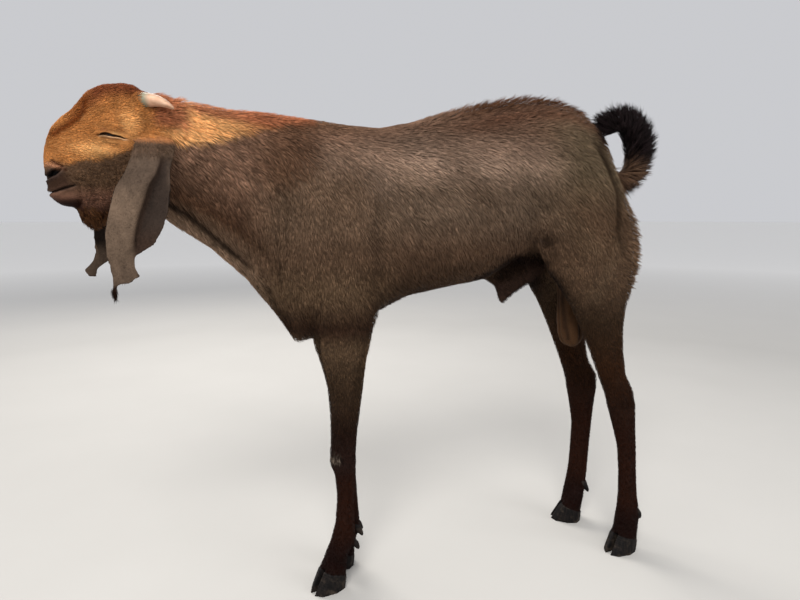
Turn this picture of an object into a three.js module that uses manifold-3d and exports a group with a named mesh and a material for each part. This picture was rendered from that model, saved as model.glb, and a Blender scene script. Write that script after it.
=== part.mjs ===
// A standing young goat buck, life size, in millimetres.
// X points from rump to nose, Y to the goat's left, Z up; the soles stand on z = 0.
// Each part is lofted through a few named cross sections, whose edges are the outer edge of the coat.

import * as THREE from 'three';
import { LoftGeometry } from 'three/addons/geometries/LoftGeometry.js';
import { mergeVertices } from 'three/addons/utils/BufferGeometryUtils.js';
import Module from 'manifold-3d';

const wasm = await Module();
wasm.setup();

// ---- driving sizes -------------------------------------------------------------------------

const WITHERS = 817;
const LOIN = 807;
const RUMP = 872;
const CHEST_FLOOR = 440;
const BARREL_HALF = 118;
const GAP = 0.4;
const HEAD_PLACE = { x: 330, y: 45, yaw: 8.75 };
const EYE = { forward: -17, side: 38, height: 768, radius: 13 };
const DIGIT_CLEFT = 1.6;
const AROUND = { body: 20, head: 20, trim: 8, leg: 10, digit: 8, dewclaw: 6, tail: 8, horn: 8 };
const CORONET = { toe: 43, heel: 23, slope: 0.28 };

// How each leg stands: shift moves it all to the left, back, lean and splay move its lower end.
const STANCE = { shift: 0, back: 0, lean: 0, splay: 0 };
const FRONT = { ...STANCE, kind: 'front' };
const HIND = { ...STANCE, kind: 'hind' };
const LEGS = [
  { ...FRONT, name: 'front_left', side: 1, foot: [4, 30], heading: 24 },
  {
    ...FRONT, name: 'front_right', side: -1, shift: 3, back: -28, splay: -10, foot: [-29, -39], heading: -12,
  },
  { ...HIND, name: 'hind_left', side: 1, foot: [-572, 76], heading: 14 },
  { ...HIND, name: 'hind_right', side: -1, shift: 4, back: 37, lean: -5, foot: [-541, -67], heading: -26 },
];

// ---- colours -------------------------------------------------------------------------------

const COATS = {
  body: { color: 0x6b4e3a, roughness: 0.9 },
  head: { color: 0x8a5a38, roughness: 0.9 },
  ear: { color: 0x5c4c3f, roughness: 0.85 },
  leg: { color: 0x40241a, roughness: 0.85 },
  tail: { color: 0x231a17, roughness: 0.9 },
  skin: { color: 0x4a362b, roughness: 0.7 },
  horn: { color: 0xb5a593, roughness: 0.45 },
  claw: { color: 0x1d1918, roughness: 0.5 },
  eye: { color: 0x1c120b, roughness: 0.1 },
};

// ---- tables of sections --------------------------------------------------------------------

// A rib is one section of the body or head: its top and low edge in the side view, its half width,
// peak (height of the widest level, 0 low to 1 top), crown and keel (1 is round, more is pinched).
const RIB = { half: 50, peak: 0.5, crown: 1, keel: 1, drift: 0, yaw: 0 };

const BODY_RIBS = [
  { top: [-557, 730], low: [-572, 664], half: 18 },
  { top: [-546, 764], low: [-573, 620], half: 44, crown: 1.1 },
  { top: [-525, 814], low: [-551, 584], half: 68, crown: 1.15 },
  { top: [-486, 855], low: [-500, 574], half: 84, crown: 1.25 },
  { top: [-430, 871], low: [-432, 577], half: 89, crown: 1.25, peak: 0.6 },
  { top: [-365, RUMP], low: [-368, 578], half: 92, crown: 1.25, peak: 0.52 },
  { top: [-290, 858], low: [-293, 538], half: 108, crown: 1.15, peak: 0.45 },
  { top: [-214, 838], low: [-215, 526], half: BARREL_HALF, peak: 0.43 },
  { top: [-150, 817], low: [-143, 513], half: 116, peak: 0.43 },
  { top: [-95, LOIN], low: [-90, 486], half: 106, crown: 1.1, keel: 1.1, peak: 0.45 },
  { top: [-40, 811], low: [-30, 450], half: 98, crown: 1.25, keel: 1.15, peak: 0.48 },
  { top: [12, WITHERS], low: [52, CHEST_FLOOR + 2], half: 92, crown: 1.3, keel: 1.1, peak: 0.45 },
  { top: [56, 821], low: [81, 488], half: 80, crown: 1.2, keel: 1, peak: 0.45, drift: 1 },
  { top: [102, 824], low: [131, 554], half: 65, crown: 1.1, peak: 0.48, drift: 4, yaw: 2 },
  { top: [148, 824], low: [186, 606], half: 55, crown: 1.1, peak: 0.5, drift: 10, yaw: 5 },
  { top: [186, 829], low: [222, 631], half: 51, crown: 1.05, drift: 18, yaw: 8 },
  { top: [218, 832], low: [250, 650], half: 48, drift: 26, yaw: 9 },
  { top: [240, 822], low: [272, 676], half: 42, drift: 31, yaw: 9 },
];

// In the head the side view runs along the head's own middle plane, from the nose back to the poll.
const HEAD_RIBS = [
  { top: [69.5, 727], low: [66, 702], half: 12 },
  { top: [69.5, 741], low: [67, 689], half: 22 },
  { top: [66.5, 759], low: [62, 679], half: 27, peak: 0.45 },
  { top: [59, 779], low: [51, 671], half: 30, peak: 0.45, crown: 1.1 },
  { top: [47, 794], low: [34, 668], half: 31, peak: 0.5, crown: 1.15 },
  { top: [30, 809], low: [14, 668], half: 34, peak: 0.52, crown: 1.15 },
  { top: [11, 827], low: [-12, 670], half: 40, peak: 0.53, crown: 1.1, keel: 0.9 },
  { top: [-10, 842], low: [-38, 676], half: 46, peak: 0.56, crown: 1.05, keel: 0.8 },
  { top: [-32, 849], low: [-62, 684], half: 50, peak: 0.57, keel: 0.75 },
  { top: [-52, 844], low: [-84, 696], half: 49, peak: 0.56, crown: 1.4, keel: 0.8 },
  { top: [-76, 836], low: [-101, 718], half: 45, crown: 1.5 },
  { top: [-97, 831], low: [-112, 748], half: 36, crown: 1.4 },
  { top: [-108, 808], low: [-115, 776], half: 18 },
];

const BEARD_RIBS = [
  { top: [37, 680], low: [35, 664], half: 5 },
  { top: [33, 688], low: [31, 652], half: 11 },
  { top: [24, 694], low: [22, 641], half: 15, keel: 1.2 },
  { top: [12, 696], low: [10, 638], half: 17, keel: 1.3 },
  { top: [-4, 698], low: [-6, 646], half: 18, keel: 1.2 },
  { top: [-20, 700], low: [-20, 660], half: 12 },
];

const SHEATH_RIBS = [
  { top: [-296, 562], low: [-298, 536], half: 7 },
  { top: [-318, 568], low: [-322, 525], half: 13, keel: 1.2 },
  { top: [-338, 570], low: [-342, 502], half: 14, keel: 1.2 },
  { top: [-352, 572], low: [-354, 495], half: 14, keel: 1.3 },
  { top: [-372, 588], low: [-374, 511], half: 15, keel: 1.3 },
  { top: [-400, 600], low: [-402, 530], half: 15, keel: 1.2 },
  { top: [-436, 606], low: [-436, 560], half: 14 },
];

// A ring is one level section of a leg: height, middle, reach to the front, back, outside and inside.
const FRONT_LEG_RINGS = [
  { z: 640, x: -10, y: 46, fore: 44, aft: 54, out: 30, inside: 30 },
  { z: 590, x: -8, y: 54, fore: 66, aft: 70, out: 38, inside: 36 },
  { z: 545, x: -13, y: 57, fore: 68, aft: 72, out: 40, inside: 38 },
  { z: 505, x: -22, y: 57, fore: 60, aft: 66, out: 41, inside: 38 },
  { z: 462, x: -26, y: 53, fore: 46, aft: 48, out: 37, inside: 34 },
  { z: 423, x: -25, y: 48, fore: 40, aft: 41, out: 32, inside: 30 },
  { z: 385, x: -28, y: 43, fore: 33, aft: 34, out: 28, inside: 27 },
  { z: 345, x: -29, y: 38, fore: 27, aft: 29, out: 25, inside: 24 },
  { z: 290, x: -26, y: 33, fore: 23.5, aft: 26, out: 23, inside: 23 },
  { z: 252, x: -24, y: 31, fore: 24, aft: 25, out: 24, inside: 24 },
  { z: 230, x: -24, y: 30, fore: 24, aft: 24, out: 24, inside: 23 },
  { z: 208, x: -27, y: 29, fore: 18, aft: 19, out: 19, inside: 19 },
  { z: 165, x: -28, y: 28, fore: 15.5, aft: 17, out: 16.5, inside: 16.5 },
  { z: 118, x: -27, y: 27, fore: 18, aft: 18, out: 18.5, inside: 18.5 },
  { z: 86, x: -23, y: 27, fore: 22, aft: 23, out: 23.5, inside: 23.5 },
  { z: 62, x: -12, y: 28, fore: 22, aft: 20, out: 23, inside: 23 },
  { z: 38, x: -2, y: 29, fore: 18, aft: 18, out: 20, inside: 20 },
];

const HIND_LEG_RINGS = [
  { z: 810, x: -470, y: 26, fore: 40, aft: 36, out: 20, inside: 20 },
  { z: 760, x: -476, y: 38, fore: 84, aft: 68, out: 38, inside: 36 },
  { z: 705, x: -482, y: 46, fore: 104, aft: 86, out: 45, inside: 44 },
  { z: 650, x: -484, y: 51, fore: 112, aft: 109, out: 47, inside: 44 },
  { z: 600, x: -480, y: 56, fore: 112, aft: 124, out: 46, inside: 42 },
  { z: 560, x: -480, y: 60, fore: 88, aft: 118, out: 42, inside: 38 },
  { z: 528, x: -488, y: 63, fore: 70, aft: 91, out: 38, inside: 34 },
  { z: 490, x: -500, y: 66, fore: 55, aft: 62, out: 37, inside: 33 },
  { z: 450, x: -510, y: 68, fore: 44, aft: 47, out: 33, inside: 31 },
  { z: 405, x: -522, y: 70, fore: 36, aft: 38, out: 27, inside: 26 },
  { z: 360, x: -536, y: 71, fore: 32, aft: 33, out: 22.5, inside: 22.5 },
  { z: 322, x: -553, y: 71, fore: 34, aft: 39, out: 21.5, inside: 21.5 },
  { z: 292, x: -560, y: 72, fore: 30, aft: 35, out: 21, inside: 21 },
  { z: 252, x: -568, y: 73, fore: 25, aft: 28, out: 18, inside: 18 },
  { z: 215, x: -575, y: 74, fore: 21.5, aft: 24, out: 15.5, inside: 15.5 },
  { z: 165, x: -579, y: 75, fore: 20.5, aft: 23, out: 14.5, inside: 14.5 },
  { z: 118, x: -582, y: 75, fore: 20.5, aft: 23, out: 16.5, inside: 16.5 },
  { z: 88, x: -584, y: 76, fore: 22, aft: 23, out: 21, inside: 21 },
  { z: 62, x: -580, y: 76, fore: 21, aft: 19, out: 22, inside: 22 },
  { z: 38, x: -575, y: 76, fore: 18, aft: 18, out: 20, inside: 20 },
];

const SCROTUM_RINGS = [
  { z: 590, x: -466, y: 2, fore: 18, aft: 18, out: 16, inside: 16 },
  { z: 545, x: -470, y: 2, fore: 21, aft: 21, out: 18, inside: 18 },
  { z: 500, x: -478, y: 1, fore: 22, aft: 23, out: 23, inside: 23 },
  { z: 455, x: -486, y: 0, fore: 28, aft: 27, out: 31, inside: 31 },
  { z: 425, x: -489, y: 0, fore: 27, aft: 26, out: 30, inside: 30 },
  { z: 407, x: -489, y: 0, fore: 18, aft: 18, out: 21, inside: 21 },
  { z: 400, x: -489, y: 0, fore: 6, aft: 6, out: 8, inside: 8 },
];

// One toe with its claw, measured in the foot's own frame: forward reach, heel reach, width.
const DIGIT_RINGS = [
  { z: 0, toe: 36, heel: -27, width: 25 },
  { z: 10, toe: 31, heel: -28.5, width: 25.5 },
  { z: 32, toe: 18.5, heel: -30, width: 24.6 },
  { z: 56, toe: 4, heel: -34, width: 22.5 },
  { z: 70, toe: -6, heel: -36, width: 19 },
];

const DEWCLAW_RINGS = [
  { z: 88, x: -11, reach: 7 },
  { z: 79, x: -17, reach: 8.5 },
  { z: 68, x: -22, reach: 7 },
  { z: 62, x: -24, reach: 3 },
];

// The tail rises from the croup, curls forward over itself and hangs its tip beside the rump.
const TAIL_RINGS = [
  { at: [-548, 2, 742], thick: 18, wide: 16 },
  { at: [-578, 3, 724], thick: 22, wide: 19 },
  { at: [-604, 5, 742], thick: 23, wide: 22 },
  { at: [-615, 7, 775], thick: 27, wide: 24 },
  { at: [-609, 9, 805], thick: 29, wide: 24 },
  { at: [-590, 11, 826], thick: 26, wide: 22 },
  { at: [-566, 13, 829], thick: 21, wide: 19 },
  { at: [-543, 15, 823], thick: 19, wide: 15 },
  { at: [-531, 18, 810], thick: 11, wide: 9 },
];

// The ear, level by level down from its root: front edge, fold and rear edge along the head's
// length, and how far the fold and the valley behind it stand out from the front edge.
const EAR_LEVELS = [
  { z: 768, front: -46, fold: -74, rear: -98, side: 40, bulge: 3, valley: 2, thick: 12 },
  { z: 757, front: -43, fold: -74, rear: -99, side: 59, bulge: 5, valley: 2, thick: 10 },
  { z: 740, front: -38, fold: -74, rear: -95, side: 72, bulge: 10, valley: 1, thick: 7 },
  { z: 718, front: -29, fold: -71, rear: -89, side: 78, bulge: 13, valley: -2, thick: 5.5 },
  { z: 694, front: -14, fold: -56, rear: -89, side: 82, bulge: 13, valley: -4, thick: 5 },
  { z: 664, front: -6, fold: -46, rear: -84, side: 85, bulge: 12, valley: -5, thick: 4.5 },
  { z: 636, front: 1, fold: -39, rear: -74, side: 87, bulge: 10, valley: -5, thick: 4 },
  { z: 617, front: 1, fold: -35, rear: -62, side: 88, bulge: 8, valley: -4, thick: 3.6 },
];

// Below the rear lobe each ear ends in one flat tip: the left hangs straight, the right flares forward.
const EAR_TIPS = {
  left: [
    { z: 602, front: 0, fold: -26, rear: -37, side: 88, bulge: 5, valley: 2, thick: 3.4 },
    { z: 588, front: -3, fold: -22, rear: -37, side: 88, bulge: 3, valley: 1, thick: 3.2 },
    { z: 575, front: -5, fold: -24, rear: -42, side: 88, bulge: 2, valley: 1, thick: 3 },
    { z: 564, front: -6, fold: -14, rear: -27, side: 88, bulge: 1, valley: 1, thick: 2.6 },
  ],
  right: [
    { z: 602, front: 15, fold: -8, rear: -26, side: 88, bulge: 5, valley: 2, thick: 3.4 },
    { z: 588, front: 19, fold: 4, rear: -10, side: 88, bulge: 2, valley: 0, thick: 3.2 },
    { z: 573, front: 34, fold: 24, rear: 12, side: 88, bulge: 0, valley: -1, thick: 3 },
    { z: 560, front: 27, fold: 21, rear: 14, side: 88, bulge: 0, valley: -1, thick: 2.6 },
  ],
};
const FAR_EAR_FORWARD = 15;
const EAR_TASSEL = { forward: -8, out: 88, height: 556, reach: [3.6, 2.6, 12] };

// ---- small tools ---------------------------------------------------------------------------

const radians = THREE.MathUtils.degToRad;
const clamp01 = (value) => THREE.MathUtils.clamp(value, 0, 1);

// Smooth curve through a column of the table; u counts the rows.
function through(values, u) {
  const last = values.length - 1;
  const i = Math.min(Math.floor(u), last - 1);
  const t = u - i;
  const [p0, p1, p2, p3] = [i - 1, i, i + 1, i + 2].map((k) => values[THREE.MathUtils.clamp(k, 0, last)]);
  const slope1 = (p2 - p0) / 2;
  const slope2 = (p3 - p1) / 2;
  const square = t * t;
  const cube = square * t;
  return (2 * cube - 3 * square + 1) * p1 + (cube - 2 * square + t) * slope1
    + (3 * square - 2 * cube) * p2 + (cube - square) * slope2;
}

// Rows between the rows of a table, every field blended; list fields are blended item by item.
function refine(rows, perRow) {
  const count = (rows.length - 1) * perRow;
  const blend = (column, u) => (Array.isArray(column[0])
    ? column[0].map((_, k) => through(column.map((item) => item[k]), u))
    : through(column, u));
  const refined = [];
  for (let i = 0; i <= count; i += 1) {
    const row = {};
    for (const key of Object.keys(rows[0])) {
      row[key] = blend(rows.map((item) => item[key]), i / perRow);
    }
    refined.push(row);
  }
  return refined;
}

// A closed mesh as a solid, turned right side out.
function solidOf(geometry) {
  const bare = new THREE.BufferGeometry().copy(geometry);
  bare.deleteAttribute('normal');
  bare.deleteAttribute('uv');
  const merged = mergeVertices(bare, 1e-4);
  const vertProperties = new Float32Array(merged.attributes.position.array);
  const corners = merged.index.array;
  const whole = [];
  for (let i = 0; i < corners.length; i += 3) {
    const [p, q, r] = corners.slice(i, i + 3);
    if (p !== q && q !== r && r !== p) {
      whole.push(p, q, r);
    }
  }
  const triVerts = new Uint32Array(whole);
  const corner = (i) => new THREE.Vector3().fromArray(vertProperties, triVerts[i] * 3);
  let volume = 0;
  for (let i = 0; i < triVerts.length; i += 3) {
    volume += corner(i).dot(corner(i + 1).cross(corner(i + 2)));
  }
  if (volume < 0) {
    for (let i = 0; i < triVerts.length; i += 3) {
      [triVerts[i], triVerts[i + 1]] = [triVerts[i + 1], triVerts[i]];
    }
  }
  return new wasm.Manifold(new wasm.Mesh({ numProp: 3, vertProperties, triVerts }));
}

function geometryOf(solid) {
  const mesh = solid.getMesh();
  const geometry = new THREE.BufferGeometry();
  geometry.setAttribute('position', new THREE.BufferAttribute(new Float32Array(mesh.vertProperties), 3));
  geometry.setIndex(new THREE.BufferAttribute(new Uint32Array(mesh.triVerts), 1));
  geometry.computeVertexNormals();
  return geometry;
}

const join = (solids) => solids.reduce((sum, solid) => sum.add(solid));

const middleOf = (section) => section
  .reduce((sum, point) => sum.add(point), new THREE.Vector3())
  .divideScalar(section.length);

// A loft closed at both ends by a fan round the middle of the end section.
function loft(sections, place = new THREE.Matrix4()) {
  const fan = (section) => section.map(() => middleOf(section));
  const closed = [fan(sections[0]), ...sections, fan(sections.at(-1))];
  return solidOf(new LoftGeometry(closed).applyMatrix4(place));
}

// Sections with both ends carried on by the given length, for a socket with room past the ends.
function carriedOn(sections, length) {
  const beyond = (end, next) => {
    const shift = middleOf(end).sub(middleOf(next)).setLength(length);
    return end.map((point) => point.clone().add(shift));
  };
  return length > 0
    ? [beyond(sections[0], sections[1]), ...sections, beyond(sections.at(-1), sections.at(-2))]
    : sections;
}

// A ball stretched along its own axes.
function ball(place, reach, turn = 0) {
  const geometry = new THREE.SphereGeometry(1, 10, 6);
  geometry.scale(...reach);
  geometry.rotateY(radians(turn));
  geometry.translate(...place);
  return geometry;
}

// A prism with the given outline; 'across' is the axis that it runs along, from start to end.
function prism(outline, across, start, end) {
  const shape = new THREE.Shape(outline.map(([a, b]) => new THREE.Vector2(a, b)));
  const geometry = new THREE.ExtrudeGeometry(shape, { depth: end - start, bevelEnabled: false });
  geometry.translate(0, 0, start);
  if (across === 'x') {
    geometry.applyMatrix4(new THREE.Matrix4().set(0, 0, 1, 0, 1, 0, 0, 0, 0, 1, 0, 0, 0, 0, 0, 1));
  } else {
    geometry.applyMatrix4(new THREE.Matrix4().set(1, 0, 0, 0, 0, 0, 1, 0, 0, 1, 0, 0, 0, 0, 0, 1));
  }
  return geometry;
}

// Parts a solid along the outline of a prism, leaving a thin gap: returns what is inside and outside.
function partAlong(solid, outline, across, start, end, place = new THREE.Matrix4()) {
  const kerfs = outline.map((from, i) => {
    const to = outline[(i + 1) % outline.length];
    const run = new THREE.Vector2(to[0] - from[0], to[1] - from[1]).normalize();
    const [dx, dy] = [(run.x * GAP) / 2, (run.y * GAP) / 2];
    const strip = [
      [from[0] - dx - dy, from[1] - dy + dx],
      [from[0] - dx + dy, from[1] - dy - dx],
      [to[0] + dx + dy, to[1] + dy - dx],
      [to[0] + dx - dy, to[1] + dy + dx],
    ];
    return solidOf(prism(strip, across, start - GAP, end + GAP).applyMatrix4(place));
  });
  const cutter = solidOf(prism(outline, across, start, end).applyMatrix4(place));
  const open = solid.subtract(join(kerfs));
  return [open.intersect(cutter), open.subtract(cutter)];
}

// ---- sections ------------------------------------------------------------------------------

// A closed oval from edge a to edge b, as wide as left and right on its two sides.
function oval({ a, b, side, left, right, peak = 0.5, crown = 1, keel = 1 }, around) {
  const middle = new THREE.Vector3().lerpVectors(b, a, peak);
  const points = [];
  for (let i = 0; i < around; i += 1) {
    const angle = (2 * Math.PI * i) / around;
    const along = Math.cos(angle);
    const across = Math.sin(angle);
    const pinch = along > 0 ? crown : keel;
    const width = (across > 0 ? left : right) * Math.sign(across) * Math.abs(across) ** pinch;
    const edge = along > 0 ? a : b;
    points.push(middle.clone().lerp(edge, Math.abs(along)).addScaledVector(side, width));
  }
  return points;
}

function ribSection(rib, around) {
  const yaw = radians(rib.yaw);
  const side = new THREE.Vector3(-Math.sin(yaw), Math.cos(yaw), 0);
  const a = new THREE.Vector3(rib.top[0], rib.drift, rib.top[1]);
  const b = new THREE.Vector3(rib.low[0], rib.drift, rib.low[1]);
  return oval({ ...rib, a, b, side, left: rib.half, right: rib.half }, around);
}

const ribLoft = (rows, around, place) => loft(
  rows.map((row) => ribSection({ ...RIB, ...row }, around)),
  place,
);

function ringSection(ring, around, grow) {
  const turn = radians(ring.turn ?? 0);
  const forward = new THREE.Vector3(Math.cos(turn), Math.sin(turn), 0);
  const side = new THREE.Vector3(-Math.sin(turn), Math.cos(turn), 0);
  const middle = new THREE.Vector3(ring.x, ring.y, ring.z);
  const a = middle.clone().addScaledVector(forward, ring.fore + grow);
  const b = middle.clone().addScaledVector(forward, -ring.aft - grow);
  const peak = (ring.aft + grow) / (ring.fore + ring.aft + 2 * grow);
  const [left, right] = [ring.out + grow, ring.inside + grow];
  return oval({ a, b, side, left, right, peak, crown: 0.9, keel: 0.95 }, around);
}

// ---- head ----------------------------------------------------------------------------------

const headPlace = new THREE.Matrix4()
  .makeRotationZ(radians(HEAD_PLACE.yaw))
  .setPosition(HEAD_PLACE.x, HEAD_PLACE.y, 0);

const inHead = (geometry) => solidOf(geometry.applyMatrix4(headPlace));

function skull() {
  const pieces = [ribLoft(HEAD_RIBS, AROUND.head, headPlace)];
  for (const side of [1, -1]) {
    pieces.push(inHead(ball([-18, side * 35, 778], [25, 17, 19], 25)));
  }
  return join(pieces);
}

function hornRings(side, grow) {
  const start = new THREE.Vector3(-52, side * 32, 818);
  const bend = new THREE.Vector3(-80, side * 45, 825);
  const tip = new THREE.Vector3(-101, side * 47, 808.5);
  const path = new THREE.QuadraticBezierCurve3(start, bend, tip);
  const rings = [];
  for (let i = 0; i <= 6; i += 1) {
    const t = i / 6;
    const radius = THREE.MathUtils.lerp(13, 1.8, t ** 1.8) + grow;
    const ahead = path.getTangent(t);
    const across = new THREE.Vector3(0, 1, 0).cross(ahead).normalize();
    const up = ahead.clone().cross(across);
    const middle = path.getPoint(t);
    const points = [];
    for (let k = 0; k < AROUND.horn; k += 1) {
      const angle = (2 * Math.PI * k) / AROUND.horn;
      const reach = across.clone().multiplyScalar(Math.cos(angle) * radius * 0.82);
      points.push(middle.clone().add(reach).addScaledVector(up, Math.sin(angle) * radius));
    }
    rings.push(points);
  }
  return rings;
}

const horn = (side, grow) => loft(carriedOn(hornRings(side, grow), grow), headPlace);

const eye = (side, grow) => inHead(ball(
  [EYE.forward, side * EYE.side, EYE.height],
  [EYE.radius + grow, EYE.radius + grow, EYE.radius + grow],
));

// ---- ears ----------------------------------------------------------------------------------

// The ear's section is a strip that runs from the front edge out over the fold and back to the rear.
function earSection(level, side, grow) {
  const thick = level.thick / 2 + grow;
  const reach = (s, out) => new THREE.Vector2(s, level.side + out);
  const strip = new THREE.SplineCurve([
    reach(level.front + grow, 0),
    reach(THREE.MathUtils.lerp(level.front, level.fold, 0.5), level.bulge * 0.8),
    reach(level.fold, level.bulge),
    reach(level.fold - level.thick / 2, THREE.MathUtils.lerp(level.valley, level.bulge, 0.4)),
    reach(THREE.MathUtils.lerp(level.fold, level.rear, 0.5), level.valley),
    reach(level.rear - grow, level.valley * 0.5 + 1),
  ]);
  const steps = 6;
  const outer = [];
  const inner = [];
  for (let i = 0; i <= steps; i += 1) {
    const t = i / steps;
    const middle = strip.getPoint(t);
    const ahead = strip.getTangent(t);
    const edge = 0.35 + 0.65 * Math.sin(Math.PI * t) ** 0.5;
    const offset = new THREE.Vector2(-ahead.y, ahead.x).multiplyScalar(thick * edge);
    outer.push(middle.clone().sub(offset));
    inner.push(middle.clone().add(offset));
  }
  return [...outer, ...inner.reverse()].map((p) => new THREE.Vector3(p.x, side * p.y, level.z));
}

// An ear leaves the head at a slant, so its socket has more room in the level sections.
function ear(side, grow) {
  const swung = (level) => (side > 0 ? 0 : FAR_EAR_FORWARD * clamp01((750 - level.z) / 70));
  const lobes = EAR_LEVELS.map((level) => ({
    ...level,
    front: level.front + swung(level),
    fold: level.fold + swung(level),
    rear: level.rear + swung(level),
  }));

  const levels = [...lobes, ...EAR_TIPS[side > 0 ? 'left' : 'right']];
  const slack = 3.5 * grow;
  const flap = loft(carriedOn(levels.map((level) => earSection(level, side, slack)), grow), headPlace);
  const { forward, out, height, reach } = EAR_TASSEL;
  return side > 0 ? flap.add(inHead(ball([forward, out, height], reach))) : flap;
}

// ---- legs ----------------------------------------------------------------------------------

// How far the lower leg is swung back or forward: none at the top, all of it at the foot.
function swing(leg, z) {
  const top = leg.kind === 'front' ? 480 : 330;
  return leg.back * clamp01((top - z) / top) ** 1.1 + leg.lean * clamp01((560 - z) / 200);
}

// How far the lower leg is spread to the side.
const splay = (leg, z) => leg.splay * clamp01((480 - z) / 440);

// Which way a leg's sections face: the foot's heading low down, the stifle a little out above.
function legTurn(leg, z) {
  if (leg.kind === 'front') {
    return leg.heading * clamp01((420 - z) / 170);
  }
  return leg.heading * clamp01((520 - z) / 190) + leg.side * 7 * clamp01((z - 520) / 60);
}

function legLoft(leg, around) {
  const rows = leg.kind === 'front' ? FRONT_LEG_RINGS : HIND_LEG_RINGS;
  const rings = rows.map((row) => ({
    ...row,
    x: row.x + swing(leg, row.z),
    y: leg.side * row.y + leg.shift + splay(leg, row.z),
    out: leg.side > 0 ? row.out : row.inside,
    inside: leg.side > 0 ? row.inside : row.out,
    turn: legTurn(leg, row.z),
  }));
  return loft(rings.map((ring) => ringSection(ring, around, 0)));
}

const footPlace = (leg) => new THREE.Matrix4()
  .makeRotationZ(radians(leg.heading))
  .setPosition(leg.foot[0], leg.foot[1], 0);

// The level sections of one toe: flat towards the cleft, round on the outside, pointed in front.
function digit(side) {
  return DIGIT_RINGS.map((ring) => {
    const cleft = ring.z > 48 ? -1 : DIGIT_CLEFT;
    return oval({
      a: new THREE.Vector3(ring.toe, side * (cleft + 4), ring.z),
      b: new THREE.Vector3(ring.heel, side * (cleft + 7), ring.z),
      side: new THREE.Vector3(0, side, 0),
      left: ring.width - cleft - 5,
      right: 4,
      peak: 0.44,
      keel: 0.8,
    }, AROUND.digit);
  });
}

function tail(grow) {
  const rings = refine(TAIL_RINGS, 2);
  const side = new THREE.Vector3(0, 1, 0);
  const sections = rings.map((ring, i) => {
    const before = rings[Math.max(i - 1, 0)].at;
    const after = rings[Math.min(i + 1, rings.length - 1)].at;
    const ahead = new THREE.Vector3(after[0] - before[0], 0, after[2] - before[2]).normalize();
    const up = side.clone().cross(ahead);
    const middle = new THREE.Vector3(...ring.at);
    const a = middle.clone().addScaledVector(up, ring.thick + grow);
    const b = middle.clone().addScaledVector(up, -ring.thick - grow);
    const wide = ring.wide + grow;
    return oval({ a, b, side, left: wide, right: wide }, AROUND.tail);
  });
  return loft(carriedOn(sections, grow));
}

function scrotum(grow) {
  const sections = SCROTUM_RINGS.map((ring) => ringSection(ring, AROUND.tail, grow));
  return loft(carriedOn(sections, grow));
}

// The two small horny claws that hang behind the fetlock, in the foot's own frame.
function dewclaw(leg, side, grow) {
  const behind = leg.kind === 'front' ? FRONT_LEG_RINGS : HIND_LEG_RINGS;
  const fetlock = behind.at(-3);
  const y = leg.side * fetlock.y + leg.shift + splay(leg, fetlock.z);
  const root = new THREE.Vector3(fetlock.x + swing(leg, fetlock.z), y, 0);
  const place = new THREE.Matrix4().makeRotationZ(radians(leg.heading)).setPosition(root);
  const sections = DEWCLAW_RINGS.map((ring) => {
    const reach = ring.reach + grow;
    const a = new THREE.Vector3(ring.x + reach, side * 11, ring.z + 2);
    const b = new THREE.Vector3(ring.x - reach, side * 11, ring.z - 2);
    const wide = reach * 0.85;
    return oval({ a, b, side: new THREE.Vector3(0, 1, 0), left: wide, right: wide }, AROUND.dewclaw);
  });
  return loft(carriedOn(sections, grow), place);
}

// ---- where the body is parted --------------------------------------------------------------

// Outlines in the side view: x forward, z up.
const HEAD_CUT = [[209, 880], [261, 630], [261, 540], [460, 540], [460, 880]];
const NECK_CUT = [[30, 880], [100, 480], [420, 480], [420, 880]];
const SHEATH_CUT = [[-286, 533], [-345, 541], [-392, 566], [-445, 572], [-445, 470], [-286, 470]];
const JAW_CUT = [[95, 680], [65, 687.5], [47, 694.5], [27, 702], [41, 655], [95, 655]];
const BEARD_CUT = [[41, 667.5], [-30, 667.5], [-30, 620], [41, 620]];
const CORONET_CUT = [[-90, CORONET.heel - 18], [90, CORONET.toe + 18], [90, -20], [-90, -20]];

// Outlines seen from behind, for the left leg: y out, z up.
const FRONT_LEG_CUT = [[-6, 424], [60, 456], [150, 520], [150, -20], [-6, -20]];
const HIND_LEG_CUT = [[17.5, 546], [60, 562], [150, 610], [150, -20], [17.5, -20]];
const LEG_REACH = { front: [-150, 72], hind: [-660, -384] };
const CANNON_TOP = { front: 238, hind: 302 };

// ---- assembly ------------------------------------------------------------------------------

const goat = new THREE.Group();

function addMesh(name, solid, coat) {
  const material = new THREE.MeshStandardMaterial({ ...COATS[coat], metalness: 0 });
  const mesh = new THREE.Mesh(geometryOf(solid), material);
  mesh.name = name;
  goat.add(mesh);
}

// A leg down to the coronets, and the two claws under it.
function buildFoot(leg) {
  const place = footPlace(leg);
  const claws = {};
  const shaft = partAlong(legLoft(leg, AROUND.leg), CORONET_CUT, 'y', -60, 60, place)[1];
  const stubs = [leg.side, -leg.side].map((side) => {
    const [claw, stub] = partAlong(loft(digit(side), place), CORONET_CUT, 'y', -60, 60, place);
    claws[side === leg.side ? 'outer' : 'inner'] = claw;
    return stub;
  });
  return { flesh: join([shaft, ...stubs]), claws };
}

const feet = LEGS.map((leg) => ({ leg, ...buildFoot(leg) }));
let flesh = join([
  ribLoft(BODY_RIBS, AROUND.body),
  skull(),
  ribLoft(BEARD_RIBS, AROUND.trim, headPlace),
  ribLoft(SHEATH_RIBS, AROUND.trim),
  ...feet.map((foot) => foot.flesh),
]);

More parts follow.
